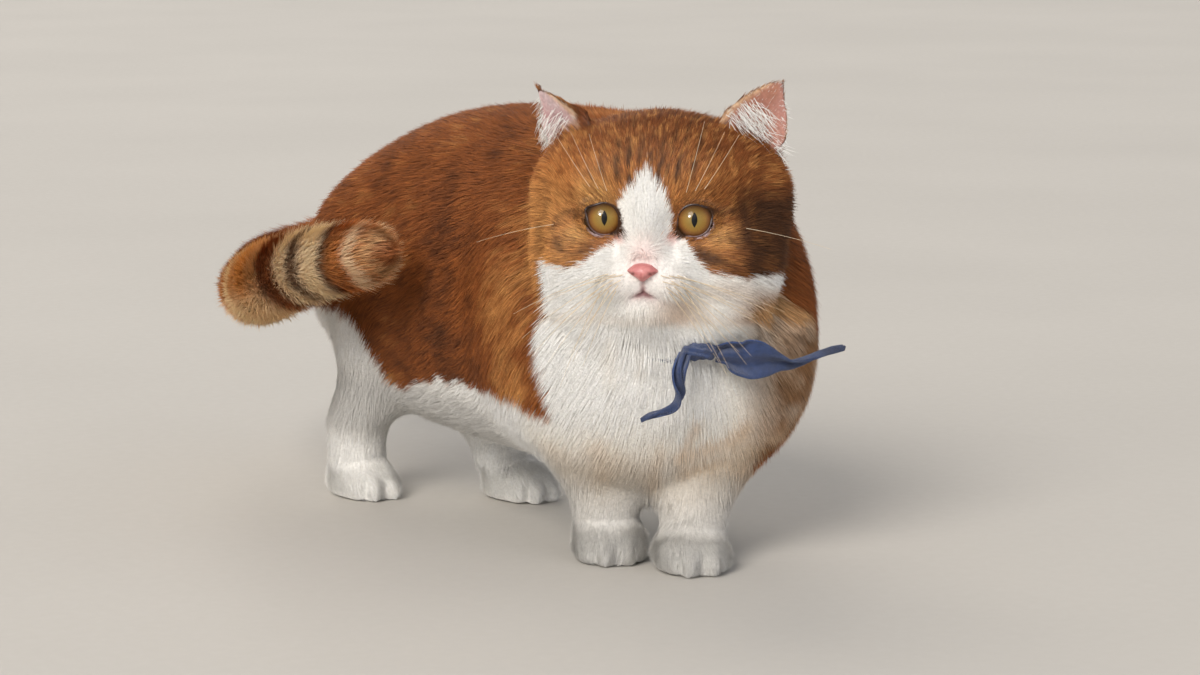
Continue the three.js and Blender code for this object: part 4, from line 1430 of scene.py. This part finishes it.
def growCoat(skin, weights, inner):
    soil = Roots(skin, weights)
    thick, short, raised = growthPlan(skin, weights, inner)
    count = soil.sow(thick * growth["share"])
    say(f"{count} tufts sown on {soil.area.sum():.0f} square millimetres")
    place, normal = soil.at(skin.points), unit(soil.at(soil.normals))
    own, where = soil.at(weights), soil.mapped()
    way = soil.at(coatLie(skin, weights))
    lift = blended(own, "lift") + soil.at(raised)
    lift = np.radians(lift * (1 + 0.25 * draws.standard_normal(count)))
    long = blended(own, "long") * soil.at(short) * (1 + growth["uneven"] * draws.standard_normal(count))
    long = np.maximum(long, 1.2)
    wide = blended(own, "wide") * (1 + 0.2 * draws.standard_normal(count))
    sway = np.column_stack([drift(place, growth["swaySize"], 51 + k) for k in range(3)]) * growth["sway"]
    sway += np.column_stack([drift(place, growth["ruffleSize"], 61 + k) for k in range(3)]) * growth["ruffle"]
    sway = (sway + draws.standard_normal((count, 3)) * growth["stray"]) * blended(own, "loose")[:, None]
    way = way + sway - normal * dots(sway, normal)[:, None]
    way = unit(way) * np.cos(lift)[:, None] + normal * np.sin(lift)[:, None]
    seen = place + way * (long * growth["seenAt"])[:, None]
    colour = coatTone(seen, own, draws.standard_normal(count) * 0.9)
    paleness = ease(0.35, 0.6, colour.mean(1))
    value = 1 + mix(0.2, 0.05, paleness) * draws.standard_normal(count)
    value += mix(0.12, 0.02, paleness) * drift(place, 4, 71)
    value *= 1 - 0.5 * freckles(toHead(seen))
    inside = soil.at(inner)[:, None]
    colour = mix(colour, mix(earTone(place), tones["white"], 0.6), inside) * value[:, None]
    # each tuft's root end is darkened as painted shade among the tufts, and its tip made lighter
    shadedRootTone = colour * mix(0.62, 0.95, paleness)[:, None]
    tipTone = np.clip(colour * mix(1.32, 1.04, paleness)[:, None], 0, 0.95)
    region = own.argmax(1)
    for index, name in enumerate(regionNames):
        chosen = np.flatnonzero(region == index)
        parts = math.ceil(len(chosen) * len(templates[False][1]) / growth["mostTriangles"])
        order = chosen[np.argsort(dots(place[chosen], np.array([0.3, 1.0, 0.2])))]
        for part, rows in enumerate(np.array_split(order, max(parts, 1))):
            roots = {
                "place": place[rows] - normal[rows] * 0.4, "way": way[rows], "normal": normal[rows],
                "long": long[rows], "wide": wide[rows], "curl": 0 * long[rows],
                "shadedRootTone": shadedRootTone[rows], "tipTone": tipTone[rows], "map": where[rows],
            }
            mesh = tuftMesh(f"coat_{name}_{part + 1}", roots, False)
            finishMesh(mesh, mesh.name, coatMaterial)


growCoat(skin, weights, inner)
say("coat grown")


# Eyes

def eyeMaterial():
    shader = Shader("catEye")
    place = shader.add("UVMap", uv_map="iris").outputs["UV"]
    split = shader.add("SeparateXYZ", place)
    across = shader.maths("SUBTRACT", split.outputs[0], 0.5)
    up = shader.maths("SUBTRACT", split.outputs[1], 0.5)
    far = shader.maths("SQRT", shader.maths("ADD", shader.maths("MULTIPLY", across, across),
                                            shader.maths("MULTIPLY", up, up)))
    far = shader.maths("MULTIPLY", far, 4)
    angle = shader.maths("ARCTAN2", up, across)
    rays = shader.add("CombineXYZ", shader.maths("MULTIPLY", angle, 9), shader.maths("MULTIPLY", far, 1.2), 0)
    fibres = shader.noise(rays.outputs[0], 1.6, 4, 0.6)
    colour = shader.ramp(
        far, (0.0, tone(136, 120, 60)), (0.3, tone(154, 128, 60)), (0.58, tone(160, 120, 52)),
        (0.76, tone(134, 84, 38)), (0.87, tone(84, 46, 22)), (0.94, tone(16, 10, 8)),
    )
    colour = shader.blend(shader.span(fibres, 0.3, 0.7, 0, 0.42), colour, tone(110, 76, 30))
    # the upper lid shades the top of the iris
    colour = shader.blend(shader.span(up, 0.03, 0.18, 0, 0.75), colour, tone(42, 28, 13))
    # the pupil is a lens-shaped slit
    height = shader.maths("DIVIDE", up, 0.105)
    arch = shader.maths("SUBTRACT", 1, shader.maths("MULTIPLY", height, height))
    slit = shader.maths("SUBTRACT", shader.maths("MULTIPLY", arch, 0.04), shader.maths("ABSOLUTE", across))
    pupil = shader.span(slit, -0.002, 0.003, 0, 1)
    shader.set(Base_Color=shader.blend(pupil, colour, (0.001, 0.001, 0.001)))
    shader.set(Roughness=0.45, Coat_Weight=0.4, Coat_Roughness=0.02, Specular_IOR_Level=0.1)
    shader.bump(fibres, 0.0002, 0.4)
    return shader.material


def buildEye(name, eye, material):
    bm = bmesh.new()
    bmesh.ops.create_uvsphere(bm, u_segments=64, v_segments=48, radius=eye["radius"] * mm)
    turn = Vector(gaze).to_track_quat("Z", "Y").to_matrix()
    layer = bm.loops.layers.uv.new("iris")
    bmesh.ops.rotate(bm, verts=bm.verts, matrix=turn)
    bmesh.ops.translate(bm, verts=bm.verts, vec=Vector(eye["middle"]) * mm)

    def bulge(points):
        # the clear front stands a little proud of the ball
        away = points - eye["middle"]
        front = ease(0.55, 1, dots(unit(away), gaze))
        return points + gaze * (eyeShape["cornea"] * front)[:, None]

    moved(bm, bulge)
    for face in bm.faces:
        face.smooth = True
        for loop in face.loops:
            across, up, forward = (float(v) for v in eyeCoords(np.array(loop.vert.co) / mm, eye))
            if forward < 0:
                far = math.hypot(across, up)
                stretch = 2 * eye["radius"] / max(far, 0.01) - 1
                across, up = across * stretch, up * stretch
            loop[layer].uv = (0.5 + across / eyeShape["irisReach"] / 4, 0.5 + up / eyeShape["irisReach"] / 4)
    finishMesh(meshFrom(bm, name), "eyeball_" + name[4:], material, (name,))


def tubeMesh(name, routes, sides):
    # tapering tubes as one mesh; each route is a list of (point, radius),
    # or a tuple of them for a closed ring
    data = bpy.data.curves.new(name, "CURVE")
    data.dimensions = "3D"
    data.bevel_depth = 1
    data.bevel_resolution = max(0, sides // 2 - 2)
    data.use_fill_caps = True
    for route in routes:
        closed = isinstance(route, tuple)
        route = list(route)
        spline = data.splines.new("POLY")
        spline.points.add(len(route) - 1)
        spline.use_cyclic_u = closed
        for point, (place, radius) in zip(spline.points, route):
            point.co = (*(np.asarray(place) * mm), 1)
            point.radius = radius * mm
    made = bpy.data.objects.new(name, data)
    bpy.context.scene.collection.objects.link(made)
    bpy.context.view_layer.update()
    mesh = bpy.data.meshes.new_from_object(made.evaluated_get(bpy.context.evaluated_depsgraph_get()))
    bpy.data.objects.remove(made)
    smoothFaces(mesh)
    return mesh


def lidMaterial():
    shader = Shader("lidRim")
    rise = shader.add("UVMap", uv_map="rim").outputs["UV"]
    up = shader.add("SeparateXYZ", rise).outputs[1]
    colour = shader.ramp(up, (0.0, tone(112, 84, 82)), (0.25, tone(70, 46, 38)), (0.5, tone(44, 27, 19)),
                         (1.0, tone(34, 21, 14)))
    wet = shader.noise(shader.where(), 900, 3)
    shader.set(Base_Color=shader.blend(shader.span(wet, 0.3, 0.7, 0, 0.3), colour, tone(96, 62, 60)))
    shader.set(Roughness=shader.span(wet, 0.3, 0.7, 0.25, 0.5), Specular_IOR_Level=0.5)
    shader.bump(wet, 0.0002)
    return shader.material


def buildLid(eye, material):
    route = []
    for angle in np.arange(0, 360, 5.0):
        reach = opening(angle) * 1.02
        away = gazeSide * eye["side"] * math.cos(math.radians(angle)) + gazeUp * math.sin(math.radians(angle))
        shell = eye["radius"] + 0.25
        rise = math.sqrt(max(shell ** 2 - min(reach, shell * 0.98) ** 2, 1))
        thick = eyeShape["rimThick"] * (1 + 0.25 * math.sin(math.radians(angle)))
        route.append((eye["middle"] + away * reach + gaze * rise, thick))
    name = "lid_left" if eye["side"] > 0 else "lid_right"
    mesh = tubeMesh(name, [tuple(route)], sides=8)
    layer = mesh.uv_layers.new(name="rim")
    across, up = eyeCoords(pointsOf(mesh), eye)[:2]
    reach = eyeShape["reach"]
    flat = np.column_stack([0.5 + across / reach / 2, 0.5 + up / reach / 2])
    loops = np.empty(len(mesh.loops), np.int64)
    mesh.loops.foreach_get("vertex_index", loops)
    layer.data.foreach_set("uv", flat[loops].ravel())
    finishMesh(mesh, name, material)


irisMaterial, rimMaterial = eyeMaterial(), lidMaterial()
for eyeName, eye in eyes.items():
    buildEye(eyeName, eye, irisMaterial)
    buildLid(eye, rimMaterial)
say("eyes set")


# Nose leather

noseShape = {
    "half": (7.3, 5.8, 4.1), "ahead": 50, "up": -16.8, "narrow": 0.36,
    "nostril": 0.9, "nostrilWide": 0.75, "groove": 0.4,
}


def noseMaterial():
    shader = Shader("noseLeather")
    where = shader.where()
    pebble = shader.add("TexVoronoi")
    shader.put(pebble.inputs["Vector"], where)
    pebble.inputs["Scale"].default_value = 1500
    blotch = shader.noise(where, 260, 3)
    colour = shader.blend(shader.span(blotch, 0.35, 0.65, 0, 1), tone(224, 150, 146), tone(204, 122, 122))
    # the painted shade of the nostrils and the middle groove, from the colour attribute hollow, darkens the
    # leather
    dark = shader.add("VertexColor", layer_name="hollow").outputs["Color"]
    shader.set(Base_Color=shader.blend(1.0, colour, dark, "MULTIPLY"))
    shader.set(Roughness=shader.span(blotch, 0.3, 0.7, 0.32, 0.5), Specular_IOR_Level=0.45)
    shader.bump(pebble.outputs["Distance"], 0.0002, 0.6)
    return shader.material


def buildNose():
    bm = bmesh.new()
    bmesh.ops.create_uvsphere(bm, u_segments=64, v_segments=48, radius=1)
    half = noseShape["half"]
    q = np.array([v.co for v in bm.verts])
    left, ahead, up = q[:, 0], -q[:, 1], q[:, 2]
    narrow = mix(noseShape["narrow"], 1, ease(-1, 0.35, up))
    left, ahead, up = left * half[0] * narrow, ahead * half[1], up * half[2]
    up = up - 0.5 * ease(3.5, 5.5, np.abs(left)) * ease(0, 2, up)
    # a comma-shaped hollow on each side, and the groove down the middle
    side = np.abs(left)
    comma = np.hypot((side - 4.1) * 0.8 - 0.25 * up, up + 0.6 + 0.25 * (side - 4.1))
    tail = np.hypot(side - 5.6, up + 0.1)
    hollow = bell(comma, noseShape["nostrilWide"]) + 0.5 * bell(tail, 0.8)
    groove = bell(left, 0.5) * ease(1.0, -1.2, up)
    front = ahead > 0
    ahead = ahead - (noseShape["nostril"] * hollow + noseShape["groove"] * groove) * front
    places = fromHead(np.column_stack([left, ahead + noseShape["ahead"], up + noseShape["up"]]))
    for v, place in zip(bm.verts, places):
        v.co = place * mm
    for face in bm.faces:
        face.smooth = True
    bmesh.ops.recalc_face_normals(bm, faces=bm.faces)
    mesh = meshFrom(bm, "nose_leather")
    # painted shade: the nostrils and the groove are darkened in the colour attribute hollow
    shade = 1 - 0.85 * np.clip(hollow * front, 0, 1) - 0.2 * groove * front
    storeColours(mesh, "hollow", np.column_stack([np.clip(shade, 0.06, 1) ** p for p in (0.8, 1.2, 1.2)]))
    finishMesh(mesh, "nose_leather", noseMaterial(), ("nose",))


buildNose()
say("nose set")


# Whiskers and long hairs

whiskers = {
    "rows": 4, "perRow": 3, "root": 0.2, "tip": 0.05, "points": 12, "brow": 0.12,
    # how far they point back, how many degrees the top row hangs and each next row more
    "sweep": 0.62, "hang": 14, "hangMore": 14, "long": (44, 60), "browCount": 3, "browLong": (24, 32),
    "cheekHair": ((44, 3), 40),
}


def onSkinAt(left, up, side):
    # a point of the face's skin straight ahead of a place in the head's frame
    guess = np.array([[left * side, 45.0, up]])
    for step in range(12):
        guess[:, 1] -= headField(guess) * 0.7
    return guess[0]


def hair(start, way, fall, long, root):
    # a hair that leaves along way and sinks by fall at its tip
    route = []
    for k in range(whiskers["points"]):
        t = k / (whiskers["points"] - 1)
        place = np.asarray(start) + np.asarray(way) * long * t + np.array([0, 0, -1]) * fall * t ** 2
        route.append((place, mix(root, whiskers["tip"], t ** 0.8)))
    return route


def whiskerMaterial():
    shader = Shader("whiskerHorn")
    along = shader.noise(shader.where(), 120, 2)
    shader.set(Base_Color=shader.blend(shader.span(along, 0.3, 0.7, 0, 1), tone(244, 228, 200),
                                       tone(220, 194, 156)))
    shader.set(Roughness=shader.span(along, 0.3, 0.7, 0.25, 0.4), Specular_IOR_Level=0.6)
    shader.bump(along, 0.00005)
    return shader.material


def buildWhiskers():
    routes = []
    for side in (-1, 1):
        for row in range(whiskers["rows"]):
            for k in range(whiskers["perRow"]):
                start = onSkinAt(9.5 + 3.6 * k + row, -18.2 - 2.7 * row, side)
                hang = whiskers["hang"] + whiskers["hangMore"] * row
                drop = math.radians(4 * draws.standard_normal() - hang)
                back = whiskers["sweep"] - 0.08 * k + 0.05 * draws.standard_normal()
                way = unit(np.array([side * math.cos(drop), -back, math.sin(drop)]))
                long = mix(*whiskers["long"], draws.random()) * (1 - 0.05 * row)
                root = fromHead(start - way * 1.2)
                routes.append(hair(root, way @ headAxes, 4 + 5 * draws.random(), long, whiskers["root"]))
        for k in range(whiskers["browCount"]):
            start = onSkinAt(18 + 4 * k, 19 + 0.8 * k, side)
            way = np.array([side * (0.3 + 0.16 * k), 0.2, 0.85 + 0.1 * draws.standard_normal()])
            long = mix(*whiskers["browLong"], draws.random())
            routes.append(hair(fromHead(start), unit(way) @ headAxes, -2, long, whiskers["brow"]))
        (left, up), long = whiskers["cheekHair"]
        way = unit(np.array([side * 0.95, -0.3, -0.16]))
        routes.append(hair(fromHead(onSkinAt(left, up, side)), way @ headAxes, 3, long, whiskers["brow"]))
    mesh = tubeMesh("whiskers", routes, sides=6)
    finishMesh(mesh, "whiskers", whiskerMaterial())


buildWhiskers()


earHair = {
    # each ear's growths: thick (on a square millimetre), heights and shares across where they root,
    # and their way as outwards, up and out of the hollow, with their length
    "left": [(0.95, (0.2, 0.72), (-0.85, 0.1), (0.85, -0.3, 0.42), 13),
             (0.7, (0.12, 0.5), (-0.5, 0.8), (0.8, -0.1, 0.5), 10),
             (0.5, (0.3, 0.9), (0.5, 1.1), (0.8, 0.1, 0.3), 3.5)],
    "right": [(1.5, (0.25, 0.9), (0.35, 1.1), (0.95, -0.4, 0.3), 7.5),
              (0.7, (0.15, 0.7), (-0.3, 0.6), (0.85, -0.35, 0.45), 10)],
    "wide": 0.26, "bend": 0.18,
}


def buildEarHair(skin, weights, inner):
    soil = Roots(skin, weights)
    q = toHead(skin.points)
    own = ease(0.3, 0.7, shareOf(weights, "ear"))
    for name in ("left", "right"):
        ear = earShape[name]
        local, spin = earCoords(skin.points, ear)
        height, across = local[:, 2] / ear["reach"], local[:, 0] / earLeaf(local, ear)[0]
        outUpFront = ((ear["side"], 0, 0), (0, 0, 1), (0, -1, 0))
        axes = [(spin @ np.array(axis)) * [1, -1, 1] @ headAxes for axis in outUpFront]
        for number, (sown, heights, shares, towards, length) in enumerate(earHair[name]):
            band = (height > heights[0]) * (height < heights[1]) * (across > shares[0]) * (across < shares[1])
            ground = np.maximum(inner, own * (shares[0] > 0.5))
            count = soil.sow(sown * band * ground * (q[:, 0] * ear["side"] > 0))
            place, normal = soil.at(skin.points), unit(soil.at(soil.normals))
            way = (sum(axis * part for axis, part in zip(axes, towards))
                   + 0.2 * draws.standard_normal((count, 3)))
            long = np.maximum(length * (1 + 0.25 * draws.standard_normal(count)), 3)
            pale = tones["white"] * np.clip(1 + 0.04 * draws.standard_normal((count, 1)), 0.8, 1)
            # the hairs' root ends are darkened as painted shade among them
            roots = {
                "place": place - normal * 0.4, "way": way, "normal": normal, "long": long,
                "wide": np.full(count, earHair["wide"]), "curl": long * earHair["bend"],
                "shadedRootTone": pale * 0.85, "tipTone": pale, "map": soil.mapped(),
            }
            mesh = tuftMesh(f"ear_hair_{name}_{number + 1}", roots, True)
            finishMesh(mesh, mesh.name, coatMaterial)


buildEarHair(skin, weights, inner)
say("whiskers and ear hair set")


# Scarf

# how places on the cloth become places on the weave's pattern
weaveScale = 8 * mm
# the two ends: middle line, half width and twist in degrees
hangingEnd = [
    ((-20, -190, 106.6), 2.2, 0), ((-25.5, -192, 100.5), 3.0, 5), ((-26.4, -192.3, 94.7), 3.6, 20),
    ((-25.7, -192.2, 89.3), 4.3, 55),
    ((-27.2, -190.3, 83.8), 3.6, 105), ((-31.4, -186.2, 80.3), 2.2, 160), ((-34.6, -182.8, 78.2), 1.8, 220),
    ((-37.6, -180.2, 76.6), 1.1, 260),
]
looseEnd = [
    ((-6, -195, 106), 3.5, 0), ((-1, -198.5, 106), 5, 0), ((3.6, -200.5, 104), 7.4, 0),
    ((10.1, -203.3, 103), 8.6, -6),
    ((16.9, -205.8, 101.6), 6.8, -14), ((23, -207, 100.4), 4.6, -26), ((29.5, -207.9, 99.4), 3.6, -40),
    ((40.3, -207.1, 100.4), 3.2, -55), ((48.9, -205.9, 101.9), 2.9, -75), ((56.7, -204.6, 102.7), 2.4, -95),
    ((66.2, -203.4, 102.5), 1.4, -110),
]


def denimMaterial():
    shader = Shader("denimCloth")
    place = shader.add("UVMap", uv_map="weave").outputs["UV"]
    split = shader.add("SeparateXYZ", place)
    u, v = split.outputs[0], split.outputs[1]
    # a twill: threads of the warp over two of the weft, stepping sideways
    slant = shader.maths("ADD", shader.maths("MULTIPLY", u, 1500), shader.maths("MULTIPLY", v, 1500))
    twill = shader.span(shader.maths("SINE", slant), -1, 1, 0, 1)
    cross = shader.span(shader.maths("SINE", shader.maths("MULTIPLY", v, 3600)), -1, 1, 0, 1)
    where = shader.where()
    worn = shader.noise(where, 55, 4)
    slub = shader.noise(where, 420, 3)
    deep = shader.blend(shader.span(worn, 0.35, 0.7, 0, 1), tone(32, 48, 92), tone(54, 80, 138))
    colour = shader.blend(shader.maths("MULTIPLY", twill, 0.34), deep, tone(92, 118, 170))
    colour = shader.blend(shader.span(slub, 0.45, 0.75, 0, 0.35), colour, tone(20, 28, 56))
    shader.set(Base_Color=colour, Roughness=shader.span(slub, 0.3, 0.7, 0.75, 0.95), Specular_IOR_Level=0.2)
    shader.set(Sheen_Weight=0.3, Sheen_Roughness=0.5)
    height = shader.maths("ADD", shader.maths("ADD", twill, shader.maths("MULTIPLY", cross, 0.5)), slub)
    shader.bump(height, 0.0003, 0.8)
    return shader.material


def routeAt(stations, t):
    # place, half width and twist on a smooth line through the stations
    values = np.array([[*place, wide, twist] for place, wide, twist in stations], float)
    values = np.vstack([2 * values[0] - values[1], values, 2 * values[-1] - values[-2]])
    at = min(int(t * (len(stations) - 1)), len(stations) - 2)
    f = t * (len(stations) - 1) - at
    a, b, c, d = values[at:at + 4]
    return curved(a, b, c, d, f)


def buildEnd(name, stations, material, curl, node, flatWide, folds):
    # a strip of cloth along its line, its edges rolled in and its end twisted to a point
    steps, across = 72, 20
    bm = bmesh.new()
    bmesh.ops.create_grid(bm, x_segments=steps, y_segments=across, size=0.5)
    layer = bm.loops.layers.uv.new("weave")
    fronts = heading(-30)[0]
    length = sum(np.linalg.norm(np.subtract(b[0], a[0])) for a, b in zip(stations[:-1], stations[1:]))
    flat = {v: (v.co.x + 0.5, v.co.y * 2) for v in bm.verts}
    for v, (t, s) in flat.items():
        here = routeAt(stations, t)
        nextOne, before = routeAt(stations, min(t + 0.01, 1)), routeAt(stations, max(t - 0.01, 0))
        way = unit(nextOne[:3] - before[:3])
        side = unit(np.cross(way, fronts))
        rise = np.cross(side, way)
        twist = math.radians(here[4])
        cosine, sine = math.cos(twist), math.sin(twist)
        side, rise = side * cosine + rise * sine, rise * cosine - side * sine
        wide = here[3]
        # the strip is rolled towards its edges: an arc that closes as curl grows
        roll = curl * (0.35 + 1.1 * t)
        angle = s * roll
        out = wide * math.sin(angle) / max(roll, 0.01) * 1.15
        depth = wide * (1 - math.cos(angle)) / max(roll, 0.01) * 0.8
        fold = folds * (1 - 0.5 * t) * math.sin(5.2 * s + 7 * t + 1.3 * math.sin(3 * t))
        place = here[:3] + side * out + rise * (depth + fold)
        v.co = place * mm
    for face in bm.faces:
        face.smooth = True
        for loop in face.loops:
            t, s = flat[loop.vert]
            loop[layer].uv = (t * length * weaveScale, (s * 0.5 + 0.5) * flatWide * weaveScale)
    area = sum(face.calc_area() for face in bm.faces)
    bmesh.ops.recalc_face_normals(bm, faces=bm.faces)
    made = finishMesh(meshFrom(bm, name), name, material, (node,))
    solid = made.modifiers.new("thickness", "SOLIDIFY")
    solid.thickness = scarfShape["cloth"] * mm
    solid.offset = 0
    return made, length * mm, area


def buildBand(material):
    bm = bmesh.new()
    around, section = 150, 18
    bmesh.ops.create_circle(bm, segments=section, radius=1, cap_ends=False,
                            matrix=Matrix.Rotation(math.radians(90), 4, "X"))
    bmesh.ops.translate(bm, verts=bm.verts, vec=(10, 0, 0))
    ring = bm.verts[:] + bm.edges[:]
    bmesh.ops.spin(bm, geom=ring, cent=(0, 0, 0), axis=(0, 0, 1), angle=math.tau, steps=around,
                   use_merge=True)
    bmesh.ops.remove_doubles(bm, verts=bm.verts, dist=1e-4)
    bmesh.ops.recalc_face_normals(bm, faces=bm.faces)
    tilt = bandTurn()
    layer = bm.loops.layers.uv.new("weave")
    spots = {}
    for v in bm.verts:
        a = math.atan2(v.co.y, v.co.x)
        out, up = math.hypot(v.co.x, v.co.y) - 10, v.co.z
        turn = math.atan2(up, out)
        # rolled cloth: folds run round the roll in a slow spiral
        folds = 0.86 + 0.12 * math.cos(3 * turn + 4 * a) + 0.06 * math.cos(7 * turn - 6 * a)
        swell = scarfShape["thick"] * folds
        reachY = scarfShape["front"] if math.sin(a) < 0 else scarfShape["back"]
        fromKnot = (a + math.pi / 2 + math.pi) % math.tau - math.pi
        sunk = mix(scarfShape["sunk"], -scarfShape["proud"], math.exp(-((fromKnot / 0.35) ** 2)))
        reach = math.hypot(scarfShape["side"] * math.cos(a), reachY * math.sin(a)) - sunk + out * swell
        local = Vector((reach * math.cos(a), reach * math.sin(a), up * swell))
        spots[v] = (a, turn)
        v.co = (Vector(scarfShape["middle"]) + tilt @ local) * mm
    for face in bm.faces:
        face.smooth = True
        turns = [spots[loop.vert] for loop in face.loops]
        for loop, (a, turn) in zip(face.loops, turns):
            a = a + math.tau if a < 0 and max(t[0] for t in turns) - a > 3 else a
            turn = turn + math.tau if turn < 0 and max(t[1] for t in turns) - turn > 3 else turn
            loop[layer].uv = (a * 65 * weaveScale, turn * 5.5 * weaveScale)
    finishMesh(meshFrom(bm, "scarf_roll"), "scarf_roll", material, ("scarf_band",))


def buildKnot(material):
    bm = bmesh.new()
    bmesh.ops.create_uvsphere(bm, u_segments=56, v_segments=40, radius=1)
    layer = bm.loops.layers.uv.new("weave")
    spots = {v: v.co.copy() for v in bm.verts}
    size = scarfShape["knotSize"]
    spin = Matrix.Rotation(math.radians(scarfShape["turn"]), 3, "Z")
    for v, start in spots.items():
        x, y, z = start
        fold = 1 + 0.09 * math.sin(9 * z + 4 * x + 2 * y) + 0.05 * math.sin(15 * x - 6 * z)
        pinch = 1 - 0.16 * math.exp(-((x / 0.3) ** 2))
        local = Vector((x * size[0], y * size[1] * fold, z * size[2] * fold * pinch))
        v.co = (Vector(scarfShape["knot"]) + spin @ local) * mm
    for face in bm.faces:
        face.smooth = True
        for loop in face.loops:
            start = spots[loop.vert]
            loop[layer].uv = (start.x * 11 * weaveScale, math.atan2(start.y, start.z) * 7 * weaveScale)
    finishMesh(meshFrom(bm, "scarf_tie"), "scarf_tie", material, ("scarf_knot",))


denim = denimMaterial()
buildBand(denim)
buildKnot(denim)
hanging, hangingLong, hangingArea = buildEnd(
    "scarf_hanging", hangingEnd, denim, 1.7, "scarf_end_hanging", 22, 1.2)
leaf, leafLong, leafArea = buildEnd("scarf_leaf", looseEnd, denim, 1.25, "scarf_end_loose", 24, 1.5)
say("scarf tied")


# Floor

def buildFloor():
    shader = Shader("paleFloor")
    cloud = shader.noise(shader.where(), 3, 4)
    fine = shader.noise(shader.where(), 160, 3)
    base = view["floorTone"]
    shader.set(Base_Color=shader.blend(shader.span(cloud, 0.35, 0.65, 0, 1), base, base * 0.96),
               Specular_IOR_Level=0.25)
    shader.set(Roughness=shader.span(fine, 0.3, 0.7, 0.55, 0.7))
    shader.bump(fine, 0.0002, 0.2)
    bm = bmesh.new()
    bmesh.ops.create_grid(bm, x_segments=1, y_segments=1, size=6)
    mesh = meshFrom(bm, "floor")
    floor = bpy.data.objects.new("floor", mesh)
    mesh.materials.append(shader.material)
    bpy.context.scene.collection.objects.link(floor)
    floor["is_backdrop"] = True


setStage()
buildFloor()
say("stage set")

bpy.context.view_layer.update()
total = sum(len(o.data.loop_triangles) or len(o.data.polygons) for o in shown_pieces() if o.type == "MESH")
print("faces in all:", total, flush=True)
